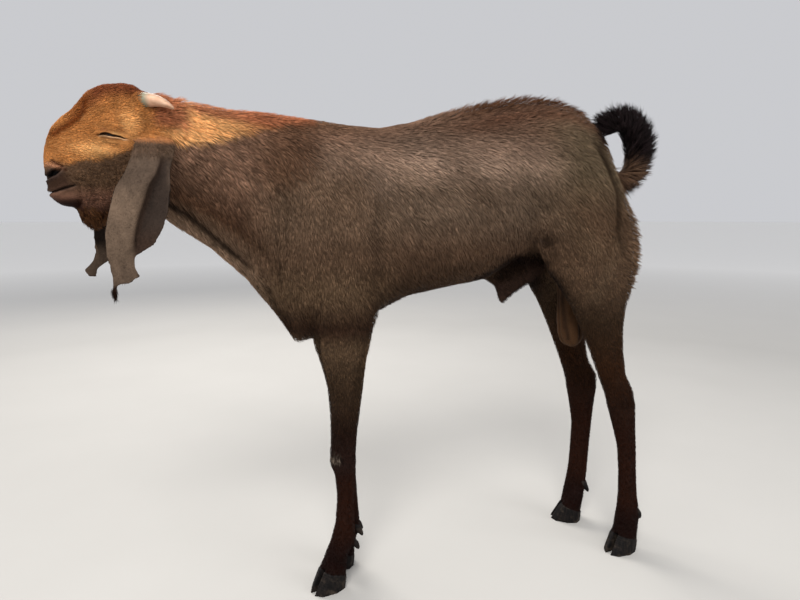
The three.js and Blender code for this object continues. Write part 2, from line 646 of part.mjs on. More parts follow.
// Small parts sit in sockets a little larger than themselves.
const seated = [];
function seat(name, make, coat) {
  flesh = flesh.subtract(make(GAP));
  seated.push([name, make(0), coat]);
}
for (const side of [1, -1]) {
  const hand = side > 0 ? 'left' : 'right';
  seat(`eye_${hand}`, (grow) => eye(side, grow), 'eye');
  seat(`horn_${hand}`, (grow) => horn(side, grow), 'horn');
  seat(`ear_${hand}`, (grow) => ear(side, grow), 'ear');
}
seat('tail', tail, 'tail');
seat('scrotum', scrotum, 'skin');
for (const { leg } of feet) {
  for (const side of [leg.side, -leg.side]) {
    const place = side === leg.side ? 'outer' : 'inner';
    seat(`${leg.name}_dewclaw_${place}`, (grow) => dewclaw(leg, side, grow), 'claw');
  }
}
seated.forEach((piece) => addMesh(...piece));

// The body itself is parted by thin cuts; what is left over at the end is the trunk.
function takeOff(outline, across, start, end, place) {
  const [piece, rest] = partAlong(flesh, outline, across, start, end, place);
  flesh = rest;
  return piece;
}
addMesh('lower_jaw', takeOff(JAW_CUT, 'y', -80, 80, headPlace), 'head');
addMesh('beard', takeOff(BEARD_CUT, 'y', -40, 40, headPlace), 'head');
addMesh('head', takeOff(HEAD_CUT, 'y', -200, 300), 'head');
addMesh('neck', takeOff(NECK_CUT, 'y', -200, 300), 'body');
addMesh('sheath', takeOff(SHEATH_CUT, 'y', -17, 17), 'skin');
for (const { leg, claws } of feet) {
  const outline = leg.kind === 'front' ? FRONT_LEG_CUT : HIND_LEG_CUT;
  const whole = takeOff(outline.map(([y, z]) => [leg.side * y, z]), 'x', ...LEG_REACH[leg.kind]);
  const cannonCut = [[-700, -20], [200, -20], [200, CANNON_TOP[leg.kind]], [-700, CANNON_TOP[leg.kind]]];
  const [cannon, upper] = partAlong(whole, cannonCut, 'y', -200, 200);
  addMesh(`${leg.name}_${leg.kind === 'front' ? 'forearm' : 'shank'}`, upper, 'leg');
  addMesh(`${leg.name}_cannon`, cannon, 'leg');
  addMesh(`${leg.name}_claw_outer`, claws.outer, 'claw');
  addMesh(`${leg.name}_claw_inner`, claws.inner, 'claw');
}
addMesh('trunk', flesh, 'body');

// The part's origin is the middle of its bounding box, on the floor.
const middle = new THREE.Box3().setFromObject(goat).getCenter(new THREE.Vector3());
goat.children.forEach((mesh) => mesh.geometry.translate(-middle.x, -middle.y, 0));

export default goat;
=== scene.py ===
# A standing young goat buck, life size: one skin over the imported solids, a coat of solid tufts,
# eyes behind nearly closed lids, horns and hooves. Metres; +X nose, +Y the goat's left, +Z up.
# Places on the goat are in millimetres from the floor under the withers, and are turned to
# metres where a mesh is made. The head has a frame of its own: forward, across and up.

import math

import bmesh
import bpy
import numpy as np
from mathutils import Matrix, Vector
from mathutils.bvhtree import BVHTree
from mathutils.kdtree import KDTree


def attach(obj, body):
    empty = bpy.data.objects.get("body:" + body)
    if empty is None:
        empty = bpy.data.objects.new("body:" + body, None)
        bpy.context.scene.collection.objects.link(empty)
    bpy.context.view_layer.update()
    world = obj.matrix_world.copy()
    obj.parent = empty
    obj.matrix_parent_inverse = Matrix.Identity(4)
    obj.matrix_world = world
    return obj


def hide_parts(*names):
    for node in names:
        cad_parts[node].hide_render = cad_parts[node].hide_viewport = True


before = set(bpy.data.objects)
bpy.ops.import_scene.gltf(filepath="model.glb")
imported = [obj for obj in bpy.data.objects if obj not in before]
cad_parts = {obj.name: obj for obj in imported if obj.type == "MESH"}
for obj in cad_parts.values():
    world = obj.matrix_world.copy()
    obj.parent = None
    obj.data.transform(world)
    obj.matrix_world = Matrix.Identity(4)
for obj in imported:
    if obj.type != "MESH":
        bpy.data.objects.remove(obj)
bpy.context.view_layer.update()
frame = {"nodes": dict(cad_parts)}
NODES = frame["nodes"]

# ---- places and sizes ------------------------------------------------------------------------

MM = 0.001
MM_TO_A_METRE = 1000.0
UNDER_WITHERS = np.array([0.120455, -0.010008, 0.0])
HEAD_AT = np.array([330.0, 45.0])
HEAD_YAW = math.radians(8.75)

CAMERA_AT = (178.1, 1032.3, 660.0)
CAMERA_HEADING = math.radians(17.0)
CAMERA_DOWN = math.radians(8.0)
CAMERA_LENS = 27.45
SENSOR_WIDTH = 36.0

# Each lamp: its place, the width of its disk, its power and its colour.
LAMPS = {
    "key": ((1.0, 2.3, 2.9), 1.6, 118.0, (1.0, 0.96, 0.91)),
    "fill": ((-2.4, 2.2, 1.9), 2.0, 35.0, (1.0, 0.98, 0.96)),
    "back": ((0.4, -2.4, 2.6), 1.8, 84.0, (1.0, 0.95, 0.89)),
}
LAMPS_AIM = (0.0, 0.0, 0.5)
SKY_COLOUR = (0.95, 0.96, 1.0, 1.0)
SKY_STRENGTH = 0.62

FLOOR_RADIUS = 60.0

VOXEL = 0.002
HOOF_VOXEL = 0.0014
SKIN_FACES = 160_000
# The most tufts in one piece; each has six faces.
TUFT_LIMIT = 32_000
# The side of the square of the flat map that each tuft takes its place in.
PATCH = 0.003
SEED = 20

# How much the solids are swollen before the skin is cast, in millimetres: enough to close the thin
# cuts between them, and more on the thin ears, which are taken in again afterwards.
SWELL = 0.35
EAR_SWELL = 1.3
# Where smoothing has drawn the skin in too far, it goes nine tenths of the way back out: in metres
# for each millimetre.
RETURN = 0.0009

EYE_AT = (-15.5, 33.9, 768.0)
EYE_RADIUS = 12.0
# The nearly closed lids, from the front corner to the rear: forward and up in the head's frame, and
# half of the opening.
LIDS = [(-2.6, 768.6, 0.2), (-5.5, 769.2, 0.7), (-9.5, 769.3, 1.2), (-14.5, 768.2, 1.25),
        (-18.5, 767.2, 0.8), (-23.0, 766.9, 0.5), (-28.5, 766.2, 0.4), (-33.0, 764.4, 0.2)]
# The lids lie further than this from the head's middle plane.
LIDS_APART = 25.0
LID_LINE = [(forward, up) for forward, up, _ in LIDS]
MOUTH_LINE = [(74.0, 688.5), (64.0, 690.0), (56.0, 691.7), (47.5, 695.2), (40.0, 697.7), (31.5, 700.3)]
# Each nostril is a comma that widens to the rear: forward and up, and half of its width.
NOSTRIL = [(68.0, 708.0, 1.4), (63.0, 713.0, 2.8), (57.4, 716.4, 3.8), (50.5, 720.6, 2.2)]
NOSTRIL_LINE = [(forward, up) for forward, up, _ in NOSTRIL]
WING_CREASE = [(61.0, 733.5), (53.9, 729.9), (48.2, 726.6), (43.4, 721.5)]
WING = [(66.0, 729.0), (58.1, 726.8), (50.0, 723.8)]

# The ears' fold and rear edge as height and how far forward. The second fold and the vein are bent
# lines in the side view, and the left ear's tassel hangs below the last height.
EAR_FOLD = [(598, -60), (602, -37), (625, -36), (644, -40), (663, -46), (679, -52), (701, -60), (714, -69),
            (728, -74), (770, -80)]
EAR_BACK_EDGE = [(616, -61), (636, -75), (663, -84), (685, -88), (707, -86), (726, -86), (742, -94)]
EAR_SECOND_FOLD = [(-87, 739), (-82, 728), (-74, 717), (-68, 701), (-64, 680)]
EAR_VEIN = [(-38, 735), (-36, 700), (-30, 660), (-22, 625)]
TASSEL_TOP = 562.0

# The horn's middle line bends from its root past the second place to its tip.
HORN_PATH = [(-52.0, 32.0, 818.0), (-80.0, 45.0, 825.0), (-101.0, 47.0, 808.5)]
HORN_ROOT = 13.0
HORN_TIP = 1.8
HORN_TAPER = 1.8
HORN_FLAT = 0.82

# The top of the back and rump: how far back, and height.
BACK_LINE = [(-525, 815), (-486, 856), (-430, 871), (-365, 872), (-290, 858), (-214, 838), (-150, 817),
             (-90, 807), (12, 817), (102, 824), (186, 829)]

# The head's upper outline, from the poll to the nose, in the head's frame.
HEAD_TOP = [(-100, 832), (-52, 845), (-10, 842), (30, 809), (59, 779), (70, 741)]

# The neck's lower edge, how far forward and its height, and the height of its crest.
UNDER_NECK = [(80, 490), (131, 554), (186, 606), (222, 631), (260, 655)]
CREST = 825.0
# The furrow between neck and shoulder, in the side view; shade is painted in it.
NECK_FURROW = [(248, 684), (211, 660), (172, 622), (124, 582)]

# The hole in the curl of the tail, and the tail's tip, in the side view.
TAIL_HOLE = (-560.0, 786.0)
TAIL_TIP = (-531.0, 810.0)
# The callus on the front of the left knee, in the side view.
CALLUS_AT = (-10.0, 243.0)
# The front legs stand before this place, and the hind legs behind it.
BETWEEN_LEGS = -250.0

# Above this line sunlight is painted on head and neck, their brown coat made ginger as in sunshine, over the
# shaded colours below: forward in the head's frame, and height.
SUNLIT_LINE = [(-430.0, 880.0), (-306.0, 806.0), (-270.0, 802.0), (-240.0, 796.0), (-205.0, 786.0),
               (-176.0, 777.0), (-146.0, 769.0), (-104.0, 765.0), (-70.0, 762.0), (-37.0, 750.0),
               (-1.0, 739.0), (17.0, 733.0), (66.0, 729.0)]


def metres(places):
    """Places on the goat as points of the model."""
    return np.asarray(places, float) * MM + UNDER_WITHERS


def on_goat(points):
    """Points of the model as places on the goat, in millimetres."""
    return (points - UNDER_WITHERS) * MM_TO_A_METRE


def in_head(places):
    """Places on the goat as forward, across and up in the head's own frame."""
    along, across = (places[:, :2] - HEAD_AT).T
    c, s = math.cos(HEAD_YAW), math.sin(HEAD_YAW)
    return along * c + across * s, across * c - along * s, places[:, 2]


def from_head(spots):
    """Forward, across and up in the head's frame as places on the goat."""
    spots = np.asarray(spots, float)
    c, s = math.cos(HEAD_YAW), math.sin(HEAD_YAW)
    x = HEAD_AT[0] + spots[:, 0] * c - spots[:, 1] * s
    y = HEAD_AT[1] + spots[:, 0] * s + spots[:, 1] * c
    return np.stack([x, y, spots[:, 2]], axis=1)


# ---- small sums ------------------------------------------------------------------------------


def smooth(value, low, high):
    """0 below low, 1 above high, and a soft step between."""
    t = np.clip((value - low) / (high - low), 0.0, 1.0)
    return t * t * (3.0 - 2.0 * t)


def fall(value, low, high):
    """1 below low, 0 above high, and a soft step between."""
    return smooth(-value, -high, -low)


def bell(*terms):
    """1 at the middle and falling away: each term is a distance over its reach."""
    return np.exp(-sum(term * term for term in terms))


def unit(vectors):
    return vectors / np.maximum(np.linalg.norm(vectors, axis=1, keepdims=True), 1e-9)


def flat_on(vectors, normals):
    """The vectors laid along the surface, one long."""
    return unit(vectors - normals * np.sum(vectors * normals, axis=1, keepdims=True))


def ripple(places, wave, seed):
    """Smooth noise, mostly from -1 to 1, about one wave long."""
    rng = np.random.default_rng(seed)
    total = np.zeros(len(places))
    for _ in range(9):
        way = unit(rng.normal(size=(1, 3)))[0] * 2.0 * math.pi / (wave * rng.uniform(0.6, 1.6))
        total += np.sin(places @ way + rng.uniform(0.0, 2.0 * math.pi))
    return total / 4.0


def along_line(spots, line):
    """How far each spot lies from a bent line, and how far along the line, from 0 to 1."""
    line = np.asarray(line, float)
    nearest = np.full(len(spots), 1e9)
    share = np.zeros(len(spots))
    last = len(line) - 1
    for i, (start, end) in enumerate(zip(line[:-1], line[1:])):
        step = end - start
        t = np.clip((spots - start) @ step / (step @ step), 0.0, 1.0)
        gap = np.linalg.norm(spots - start - t[:, None] * step, axis=1)
        closer = gap < nearest
        nearest = np.where(closer, gap, nearest)
        share = np.where(closer, (i + t) / last, share)
    return nearest, share


def off_line(spots, line):
    """How far each spot lies from a bent line."""
    return along_line(spots, line)[0]


def pairs(along, up):
    """A spot in the side view for each point."""
    return np.stack([along, up], axis=1)


def between(value, line):
    """The value read off a bent line given as pairs."""
    return np.interp(value, [pair[0] for pair in line], [pair[1] for pair in line])


def far_ear_forward(t, z):
    """How much further forward the right ear swings towards its tip."""
    return np.where(t < 0.0, 15.0 * np.clip((750.0 - z) / 70.0, 0.0, 1.0), 0.0)


def up_neck(x, z):
    """0 at the neck's lower edge and 1 at its crest, whichever way the neck slopes."""
    lowest = between(x, UNDER_NECK)
    return (z - lowest) / (CREST - lowest)


def on_muzzle(s, z):
    """1 low on the muzzle, round the mouth and nostrils."""
    return smooth(s, 28.0, 50.0) * fall(z, 716.0, 732.0)


def off_callus(x, y, z):
    """How far each place lies from the left knee's callus; the right legs are put out of its reach."""
    return np.hypot(x - CALLUS_AT[0], z - CALLUS_AT[1]) + 99.0 * (y < 20.0)


def from_tail_hole(places):
    """The way out of the hole in the tail's curl, one long, in the side view."""
    x, _, z = places.T
    return unit(np.stack([x - TAIL_HOLE[0], 0.0 * x, z - TAIL_HOLE[1]], axis=1))


# ---- camera and light ------------------------------------------------------------------------


def make_camera():
    data = bpy.data.cameras.new("camera")
    data.lens = CAMERA_LENS
    data.sensor_width = SENSOR_WIDTH
    camera = bpy.data.objects.new("camera", data)
    bpy.context.collection.objects.link(camera)
    camera.location = metres(CAMERA_AT)
    level = Vector((-math.sin(CAMERA_HEADING), -math.cos(CAMERA_HEADING), 0.0))
    ahead = level * math.cos(CAMERA_DOWN) - Vector((0, 0, math.sin(CAMERA_DOWN)))
    camera.rotation_euler = ahead.to_track_quat("-Z", "Y").to_euler()
    bpy.context.scene.camera = camera


def add_lamp(name, at, size, power, colour):
    data = bpy.data.lights.new(name, "AREA")
    data.shape = "DISK"
    data.size = size
    data.energy = power
    data.color = colour
    lamp = bpy.data.objects.new(name, data)
    bpy.context.collection.objects.link(lamp)
    lamp.location = at
    lamp.rotation_euler = (Vector(LAMPS_AIM) - Vector(at)).to_track_quat("-Z", "Y").to_euler()


def light_studio():
    """The lamps, and a pale sky that fills the shadows."""
    for name, lamp in LAMPS.items():
        add_lamp(name, *lamp)
    world = bpy.data.worlds.new("studio")
    bpy.context.scene.world = world
    world.use_nodes = True
    sky = world.node_tree.nodes["Background"]
    sky.inputs["Color"].default_value = SKY_COLOUR
    sky.inputs["Strength"].default_value = SKY_STRENGTH
    bpy.context.scene.view_settings.view_transform = "Standard"


# ---- shader tools ----------------------------------------------------------------------------


class Value:
    """A shader socket that does maths: each operator adds a Math node."""

    def __init__(self, tree, socket):
        self.tree = tree
        self.socket = socket

    def maths(self, operation, *others, clamp=False):
        node = self.tree.nodes.new("ShaderNodeMath")
        node.operation = operation
        node.use_clamp = clamp
        for place, item in zip(node.inputs, (self, *others)):
            if isinstance(item, Value):
                self.tree.links.new(item.socket, place)
            else:
                place.default_value = item
        return Value(self.tree, node.outputs[0])

    def __add__(self, other):
        return self.maths("ADD", other)

    def __sub__(self, other):
        return self.maths("SUBTRACT", other)

    def __rsub__(self, other):
        return self.maths("MULTIPLY_ADD", -1.0, other)

    def __mul__(self, other):
        return self.maths("MULTIPLY", other)

    __radd__ = __add__
    __rmul__ = __mul__

    def between(self, low, high):
        """0 at low, 1 at high, and never outside."""
        return self.maths("MULTIPLY_ADD", 1.0 / (high - low), -low / (high - low), clamp=True)


def seen(red, green, blue):
    """A colour as seen, from 0 to 255, in linear light."""
    shares = np.array([red, green, blue]) / 255.0
    return np.where(shares < 0.04045, shares / 12.92, ((shares + 0.055) / 1.055) ** 2.4)


def shade(red, green, blue):
    """The same colour for a shader's socket."""
    return (*(float(channel) for channel in seen(red, green, blue)), 1.0)


class Material:
    """One node material round a Principled shader."""

    def __init__(self, name):
        self.material = bpy.data.materials.new(name)
        self.material.use_nodes = True
        self.tree = self.material.node_tree
        self.shader = self.tree.nodes["Principled BSDF"]

    def feed(self, place, value):
        if isinstance(value, Value):
            value = value.socket
        if isinstance(value, bpy.types.NodeSocket):
            self.tree.links.new(value, place)
        else:
            place.default_value = value

    def node(self, kind, settings, inputs, output=0):
        """Adds a node: its settings first, then the value or link of each input named or numbered."""
        node = self.tree.nodes.new(kind)
        for key, value in settings.items():
            setattr(node, key, value)
        for key, value in inputs.items():
            self.feed(node.inputs[key], value)
        return node.outputs[output]

    def value(self, socket):
        return Value(self.tree, socket)

    def set(self, **sockets):
        """Feeds the shader's own inputs, which are named with _ for a space."""
        for key, value in sockets.items():
            self.feed(self.shader.inputs[key.replace("_", " ")], value)

    def mix(self, a, b, factor, blend="MIX"):
        settings = {"data_type": "RGBA", "blend_type": blend}
        return self.node("ShaderNodeMix", settings, {0: factor, 6: a, 7: b}, 2)

    def layered(self, colour, *layers):
        """Colours laid over the first in turn, each by its own factor."""
        for upper, factor in layers:
            colour = self.mix(colour, upper, factor)
        return colour

    def coordinates(self, stretch=(1.0, 1.0, 1.0)):
        place = self.node("ShaderNodeTexCoord", {}, {}, "Object")
        return self.node("ShaderNodeMapping", {}, {"Vector": place, "Scale": stretch})

    def noise(self, scale, detail=3.0, stretch=(1.0, 1.0, 1.0)):
        inputs = {"Vector": self.coordinates(stretch), "Scale": scale, "Detail": detail}
        return self.value(self.node("ShaderNodeTexNoise", {}, inputs))

    def colour_of(self, name):
        """The colour painted on each vertex under this name."""
        return self.node("ShaderNodeAttribute", {"attribute_name": name}, {})

    def numbers_of(self, name):
        """The three numbers painted on each vertex under this name."""
        parts = []
        for i in range(3):
            parts.append(self.node("ShaderNodeSeparateColor", {}, {"Color": self.colour_of(name)}, i))
        return [self.value(part) for part in parts]

    def bump(self, height, strength, distance):
        inputs = {"Height": height, "Strength": strength, "Distance": distance}
        self.feed(self.shader.inputs["Normal"], self.node("ShaderNodeBump", {}, inputs))


# ---- meshes from arrays ----------------------------------------------------------------------


def mesh_from(name, points, corners):
    """A smooth mesh of triangles from its points and each triangle's three corners."""
    mesh = bpy.data.meshes.new(name)
    mesh.vertices.add(len(points))
    mesh.vertices.foreach_set("co", points.astype(np.float32).ravel())
    mesh.loops.add(corners.size)
    mesh.loops.foreach_set("vertex_index", corners.astype(np.int32).ravel())
    mesh.polygons.add(len(corners))
    mesh.polygons.foreach_set("loop_start", np.arange(len(corners), dtype=np.int32) * 3)
    mesh.update(calc_edges=True)
    mesh.shade_smooth()
    return mesh


def mesh_of(name, form):
    """A mesh from a form, which is used up."""
    mesh = bpy.data.meshes.new(name)
    form.to_mesh(mesh)
    form.free()
    return mesh


def put(name, mesh):
    piece = bpy.data.objects.new(name, mesh)
    bpy.context.collection.objects.link(piece)
    return piece


def finish_piece(piece, material, slot, *nodes):
    """Gives a piece its material and its body, and hides the nodes that it stands for; slot is not used."""
    piece.data.materials.clear()
    piece.data.materials.append(material)
    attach(piece, "root")
    if nodes:
        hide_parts(*nodes)
    return piece


def points_of(mesh):
    points = np.empty(len(mesh.vertices) * 3, np.float32)
    mesh.vertices.foreach_get("co", points)
    return points.reshape(-1, 3).astype(float)


def normals_of(mesh):
    normals = np.empty(len(mesh.vertices) * 3, np.float32)
    mesh.vertex_normals.foreach_get("vector", normals)
    return normals.reshape(-1, 3).astype(float)


def corners_of(mesh):
    corners = np.empty(len(mesh.loops), np.int32)
    mesh.loops.foreach_get("vertex_index", corners)
    return corners.reshape(-1, 3)


def in_fixed_order(corners):
    """The same triangles, each from its lowest corner on, in rising order."""
    first = corners.argmin(axis=1)
    turned = np.stack([corners[np.arange(len(corners)), (first + i) % 3] for i in range(3)], axis=1)
    return turned[np.lexsort(turned.T)]


def move_points(mesh, points):
    mesh.vertices.foreach_set("co", points.astype(np.float32).ravel())
    mesh.update()


def paint(mesh, name, colours):
    """Stores a colour for each vertex, for the material to read."""
    layer = mesh.attributes.new(name, "FLOAT_COLOR", "POINT")
    full = np.concatenate([colours, np.ones((len(colours), 1))], axis=1)
    layer.data.foreach_set("color", full.astype(np.float32).ravel())


class Net:
    """Which vertices of a mesh are joined, for smoothing over the surface."""

    def __init__(self, mesh):
        edges = np.empty(len(mesh.edges) * 2, np.int32)
        mesh.edges.foreach_get("vertices", edges)
        self.a, self.b = edges.reshape(-1, 2).T
        self.size = len(mesh.vertices)
        ends = np.bincount(self.a, minlength=self.size) + np.bincount(self.b, minlength=self.size)
        self.count = np.maximum(ends, 1)

    def mean(self, values):
        """Each vertex's neighbours averaged, for one number or a row of them."""
        if values.ndim == 2:
            return np.stack([self.mean(column) for column in values.T], axis=1)
        from_a = np.bincount(self.a, values[self.b], self.size)
        return (from_a + np.bincount(self.b, values[self.a], self.size)) / self.count

    def blur(self, values, rounds):
        for _ in range(rounds):
            values = 0.5 * values + 0.5 * self.mean(values)
        return values

    def relax(self, points, rounds):
        """Smooths the shape itself; rounds says how many times each vertex takes part."""
        for turn in range(int(np.ceil(rounds.max()))):
            share = 0.5 * np.clip(rounds - turn, 0.0, 1.0)
            points = points + share[:, None] * (self.mean(points) - points)
        return points


def changed(mesh, kind, group=None, **settings):
    """A new mesh: this one after one modifier; group is a share for each vertex."""
    piece = put("work", mesh)
    modifier = piece.modifiers.new("change", kind)
    if group is not None:
        weights = piece.vertex_groups.new(name="share")
        for level in np.unique(group):
            weights.add(np.flatnonzero(group == level).tolist(), float(level), "REPLACE")
        modifier.vertex_group = weights.name
    for key, value in settings.items():
        setattr(modifier, key, value)
    result = bpy.data.meshes.new_from_object(piece.evaluated_get(bpy.context.evaluated_depsgraph_get()))
    bpy.data.objects.remove(piece)
    return result


# ---- which part of the body a point belongs to -------------------------------------------------

PARTS = ["trunk", "neck", "head", "beard", "ear", "jaw", "tail", "scrotum", "sheath", "upper_leg", "cannon",
         "claw", "horn", "eye"]


def part_of(node):
    if "claw" in node:
        return "claw"
    if node.endswith(("forearm", "shank")):
        return "upper_leg"
    return next(part for part in PARTS if part in node)


def is_part(labels, *names):
    return np.isin(labels, [PARTS.index(name) for name in names])


def by_part(labels, default, **values):
    """One number for each point, from its part."""
    return np.array([values.get(part, default) for part in PARTS], float)[labels]


def gather(nodes):
    """The nodes' surfaces in one merged form, and the part that each face belongs to."""
    form = bmesh.new()
    owner = []
    for name in nodes:
        form.from_mesh(NODES[name].data)
        owner += [PARTS.index(part_of(name))] * (len(form.faces) - len(owner))
    return form, np.array(owner)


# ---- the skin's form ---------------------------------------------------------------------------


def cast_skin(form, owner):
    """One closed surface round all the solids, at the tips of the coat."""
    in_ear = form.verts.layers.int.new("in_ear")
    form.faces.index_update()
    for face in form.faces:
        if owner[face.index] == PARTS.index("ear"):
            for corner in face.verts:
                corner[in_ear] = 1
    bmesh.ops.remove_doubles(form, verts=form.verts, dist=1e-6)
    form.normal_update()
    for corner in form.verts:
        corner.co += corner.normal * MM * (EAR_SWELL if corner[in_ear] else SWELL)
    return changed(mesh_of("solids", form), "REMESH", mode="VOXEL", voxel_size=VOXEL, adaptivity=0.0)


def return_to_depth(mesh, tree, depth, labels, net):
    """Brings the skin back out where smoothing has drawn it in too far."""
    points = points_of(mesh)
    gap = MM_TO_A_METRE * np.array([tree.find_nearest(point)[3] for point in points])
    over = np.clip(gap - depth, 0.0, 8.0) * is_part(labels, "trunk", "neck", "head", "upper_leg")
    over = net.blur(over, 110)
    move_points(mesh, points + normals_of(mesh) * over[:, None] * RETURN)


def coat_depth(places, labels, net):
    """How far the skin lies under the coat's tips, in millimetres."""
    x, _, z = places.T
    depth = by_part(labels, 6.0, neck=5.5, head=2.0, ear=0.5, beard=3.0, jaw=0.8, tail=8.0, scrotum=1.2,
                    sheath=2.5, upper_leg=3.6, cannon=1.6, claw=1.4, horn=2.4, eye=1.3)
    trunk = is_part(labels, "trunk")
    depth += 8.0 * fall(x, -260.0, -60.0) * smooth(z, 800.0, 848.0) * trunk
    depth -= 2.4 * smooth(z - between(x, BACK_LINE), -40.0, -12.0) * is_part(labels, "trunk", "neck")
    depth += 5.0 * fall(x, -575.0, -515.0) * smooth(z, 470.0, 560.0) * is_part(labels, "trunk", "upper_leg")
    depth += 1.5 * smooth(z, 795.0, 825.0) * is_part(labels, "neck")
    to_tip = np.hypot(x - TAIL_TIP[0], z - TAIL_TIP[1])
    depth -= 4.0 * fall(to_tip, 12.0, 45.0) * is_part(labels, "tail")
    depth -= 1.5 * smooth(in_head(places)[0], 30.0, 50.0) * is_part(labels, "head")
    return net.blur(depth, 30)


# Long soft forms on the body, on both sides: a bent line in the side view, its reach, and how
# deep it is pressed in, or raised where that is less than nothing.
# The hair is painted with shade in these folds and with light on the raised forms.
BODY_FOLDS = [
    (NECK_FURROW, 7.5, 6.0),
    ([(228, 652), (185, 616), (135, 566)], 9.0, -2.5),
    ([(236, 702), (182, 662), (132, 612)], 13.0, -3.0),
    ([(108, 566), (86, 517), (67, 484), (58, 466)], 7.0, 5.0),
    ([(-322, 745), (-335, 690), (-352, 640)], 34.0, 5.0),
    ([(-380, 624), (-392, 606)], 13.0, 6.0),
    ([(-352, 604), (-400, 552)], 9.0, -2.0),
    ([(-78, 720), (-66, 640), (-70, 560)], 16.0, 3.0),
    ([(-60, 540), (-78, 492)], 14.0, 4.5),
    ([(40, 770), (70, 690), (78, 610)], 22.0, 3.0),
    ([(16, 720), (26, 650), (16, 590)], 20.0, -2.5),
    ([(-20, 700), (-30, 620)], 18.0, -1.5),
    ([(-360, 790), (-430, 800)], 26.0, -2.5),
    ([(-476, 790), (-510, 742), (-527, 700), (-523, 640), (-535, 590)], 12.0, 6.0),
    ([(-556, 690), (-572, 640), (-572, 590)], 15.0, -2.5),
    ([(-488, 700), (-480, 640), (-470, 570)], 26.0, -2.5),
    ([(-60, 470), (-50, 420), (-42, 360)], 7.0, 2.2),
    ([(-250, 800), (-150, 778), (-60, 776)], 14.0, 1.6),
]
# Hollows between bone and tendons: a share of the leg's width from its rear edge, the lowest and
# highest heights, the reach as such a share, and the depth.
LEG_GROOVES = {
    "front": [(0.34, 95.0, 215.0, 0.13, 2.0), (0.62, 270.0, 400.0, 0.15, 1.8),
              (0.30, 280.0, 400.0, 0.12, 1.5)],
    "hind": [(0.36, 100.0, 260.0, 0.13, 2.2), (0.30, 320.0, 450.0, 0.13, 3.6),
             (0.70, 330.0, 430.0, 0.16, 1.4)],
}
# The long folds that run down the scrotum, in the side view.
POUCH_FOLDS = [
    [(-460, 530), (-463, 485), (-467, 445), (-474, 420)],
    [(-478, 530), (-485, 480), (-492, 440), (-494, 420)],
    [(-447, 520), (-449, 480), (-453, 450)],
]


def fade_ends(share, low, high):
    """1 along a line's length, and 0 at its ends; low and high say over how much of it."""
    return smooth(share, -low, high) * smooth(1.0 - share, -low, high)


def press_folds(mesh, labels):
    """Presses the body's folds and hollows in, and raises the forms between them."""
    places = on_goat(points_of(mesh))
    normals = normals_of(mesh)
    side = smooth(np.abs(normals[:, 1]), 0.15, 0.6)
    body = is_part(labels, "trunk", "neck", "upper_leg")
    deep = np.zeros(len(places))
    for line, reach, depth in BODY_FOLDS:
        gap, share = along_line(places[:, [0, 2]], line)
        deep += depth * bell(gap / reach) * fade_ends(share, 0.25, 0.2) * side * body
    deep += leg_grooves(places, normals, labels) + pouch_seam(places, normals, labels)
    move_points(mesh, points_of(mesh) - normals * deep[:, None] * MM)


def leg_grooves(places, normals, labels):
    """How deep the hollows of the legs are at each place."""
    x, y, z = places.T
    deep = np.zeros(len(places))
    leg = is_part(labels, "upper_leg", "cannon")
    edges = np.arange(40.0, 520.0, 12.0)
    for side in (1, -1):
        for pair, in_pair in (("front", x > BETWEEN_LEGS), ("hind", x <= BETWEEN_LEGS)):
            rows = np.flatnonzero(leg & (y * side > 0) & in_pair)
            level = np.digitize(z[rows], edges)
            levels = np.unique(level)
            low, high = (np.array([np.percentile(x[rows][level == k], q) for k in levels]) for q in (2, 98))
            fore = np.interp(level, levels, high)
            aft = np.interp(level, levels, low)
            across = (x[rows] - aft) / np.maximum(fore - aft, 1.0)
            for share, bottom, top, reach, depth in LEG_GROOVES[pair]:
                tall = smooth(z[rows], bottom - 25.0, bottom) * fall(z[rows], top, top + 25.0)
                deep[rows] += depth * bell((across - share) / reach) * tall
    return deep * smooth(np.abs(normals[:, 1]), 0.2, 0.7)


def draw_out_sheath(places, labels):
    """The sheath narrowed to a tip that points down and forward."""
    share = fall(places[:, 2], 502.0, 540.0) * is_part(labels, "sheath")
    drawn = places.copy()
    drawn[:, 0] += 15.0 * share + 0.25 * share * (-352.0 - places[:, 0])
    drawn[:, 1] *= 1.0 - 0.40 * share
    drawn[:, 2] -= 9.0 * share
    return drawn


def pouch_seam(places, normals, labels):
    """The seam between the two halves of the scrotum, and its upright folds."""
    x, y, z = places.T
    pouch = 1.0 * is_part(labels, "scrotum")
    seam = 3.4 * bell(y / 3.5) * smooth(np.abs(normals[:, 0]) + fall(z, 415.0, 440.0), 0.3, 0.8)
    folds = 0.5 * np.sin(x * 0.55 + 0.6 * np.sin(z * 0.05)) * smooth(z, 430.0, 500.0)
    return (seam + folds + 2.2 * in_pouch_folds(x, z)) * pouch


def in_pouch_folds(x, z):
    """1 in the long folds that run down the scrotum."""
    spots = pairs(x, z)
    return np.maximum.reduce([bell(off_line(spots, line) / 3.0) for line in POUCH_FOLDS])


def split_near(mesh, reach, rounds):
    """Smaller faces where reach, a sum for the places of the corners, says so."""
    form = bmesh.new()
    form.from_mesh(mesh)
    bmesh.ops.triangulate(form, faces=form.faces)
    for turn in range(rounds):
        points = np.array([corner.co for corner in form.verts])
        near = reach(on_goat(points)) > turn
        form.verts.index_update()
        edges = [edge for edge in form.edges if near[edge.verts[0].index] and near[edge.verts[1].index]]
        bmesh.ops.subdivide_edges(form, edges=edges, cuts=1, use_grid_fill=True)
        bmesh.ops.triangulate(form, faces=[face for face in form.faces if len(face.verts) > 3])
    result = mesh_of("split", form)
    result.shade_smooth()
    return result


def carry_over(old_points, new_points):
    """For each new point, the row of the old point nearest to it."""
    tree = KDTree(len(old_points))
    for i, point in enumerate(old_points):
        tree.insert(point, i)
    tree.balance()
    return np.array([tree.find(point)[1] for point in new_points])


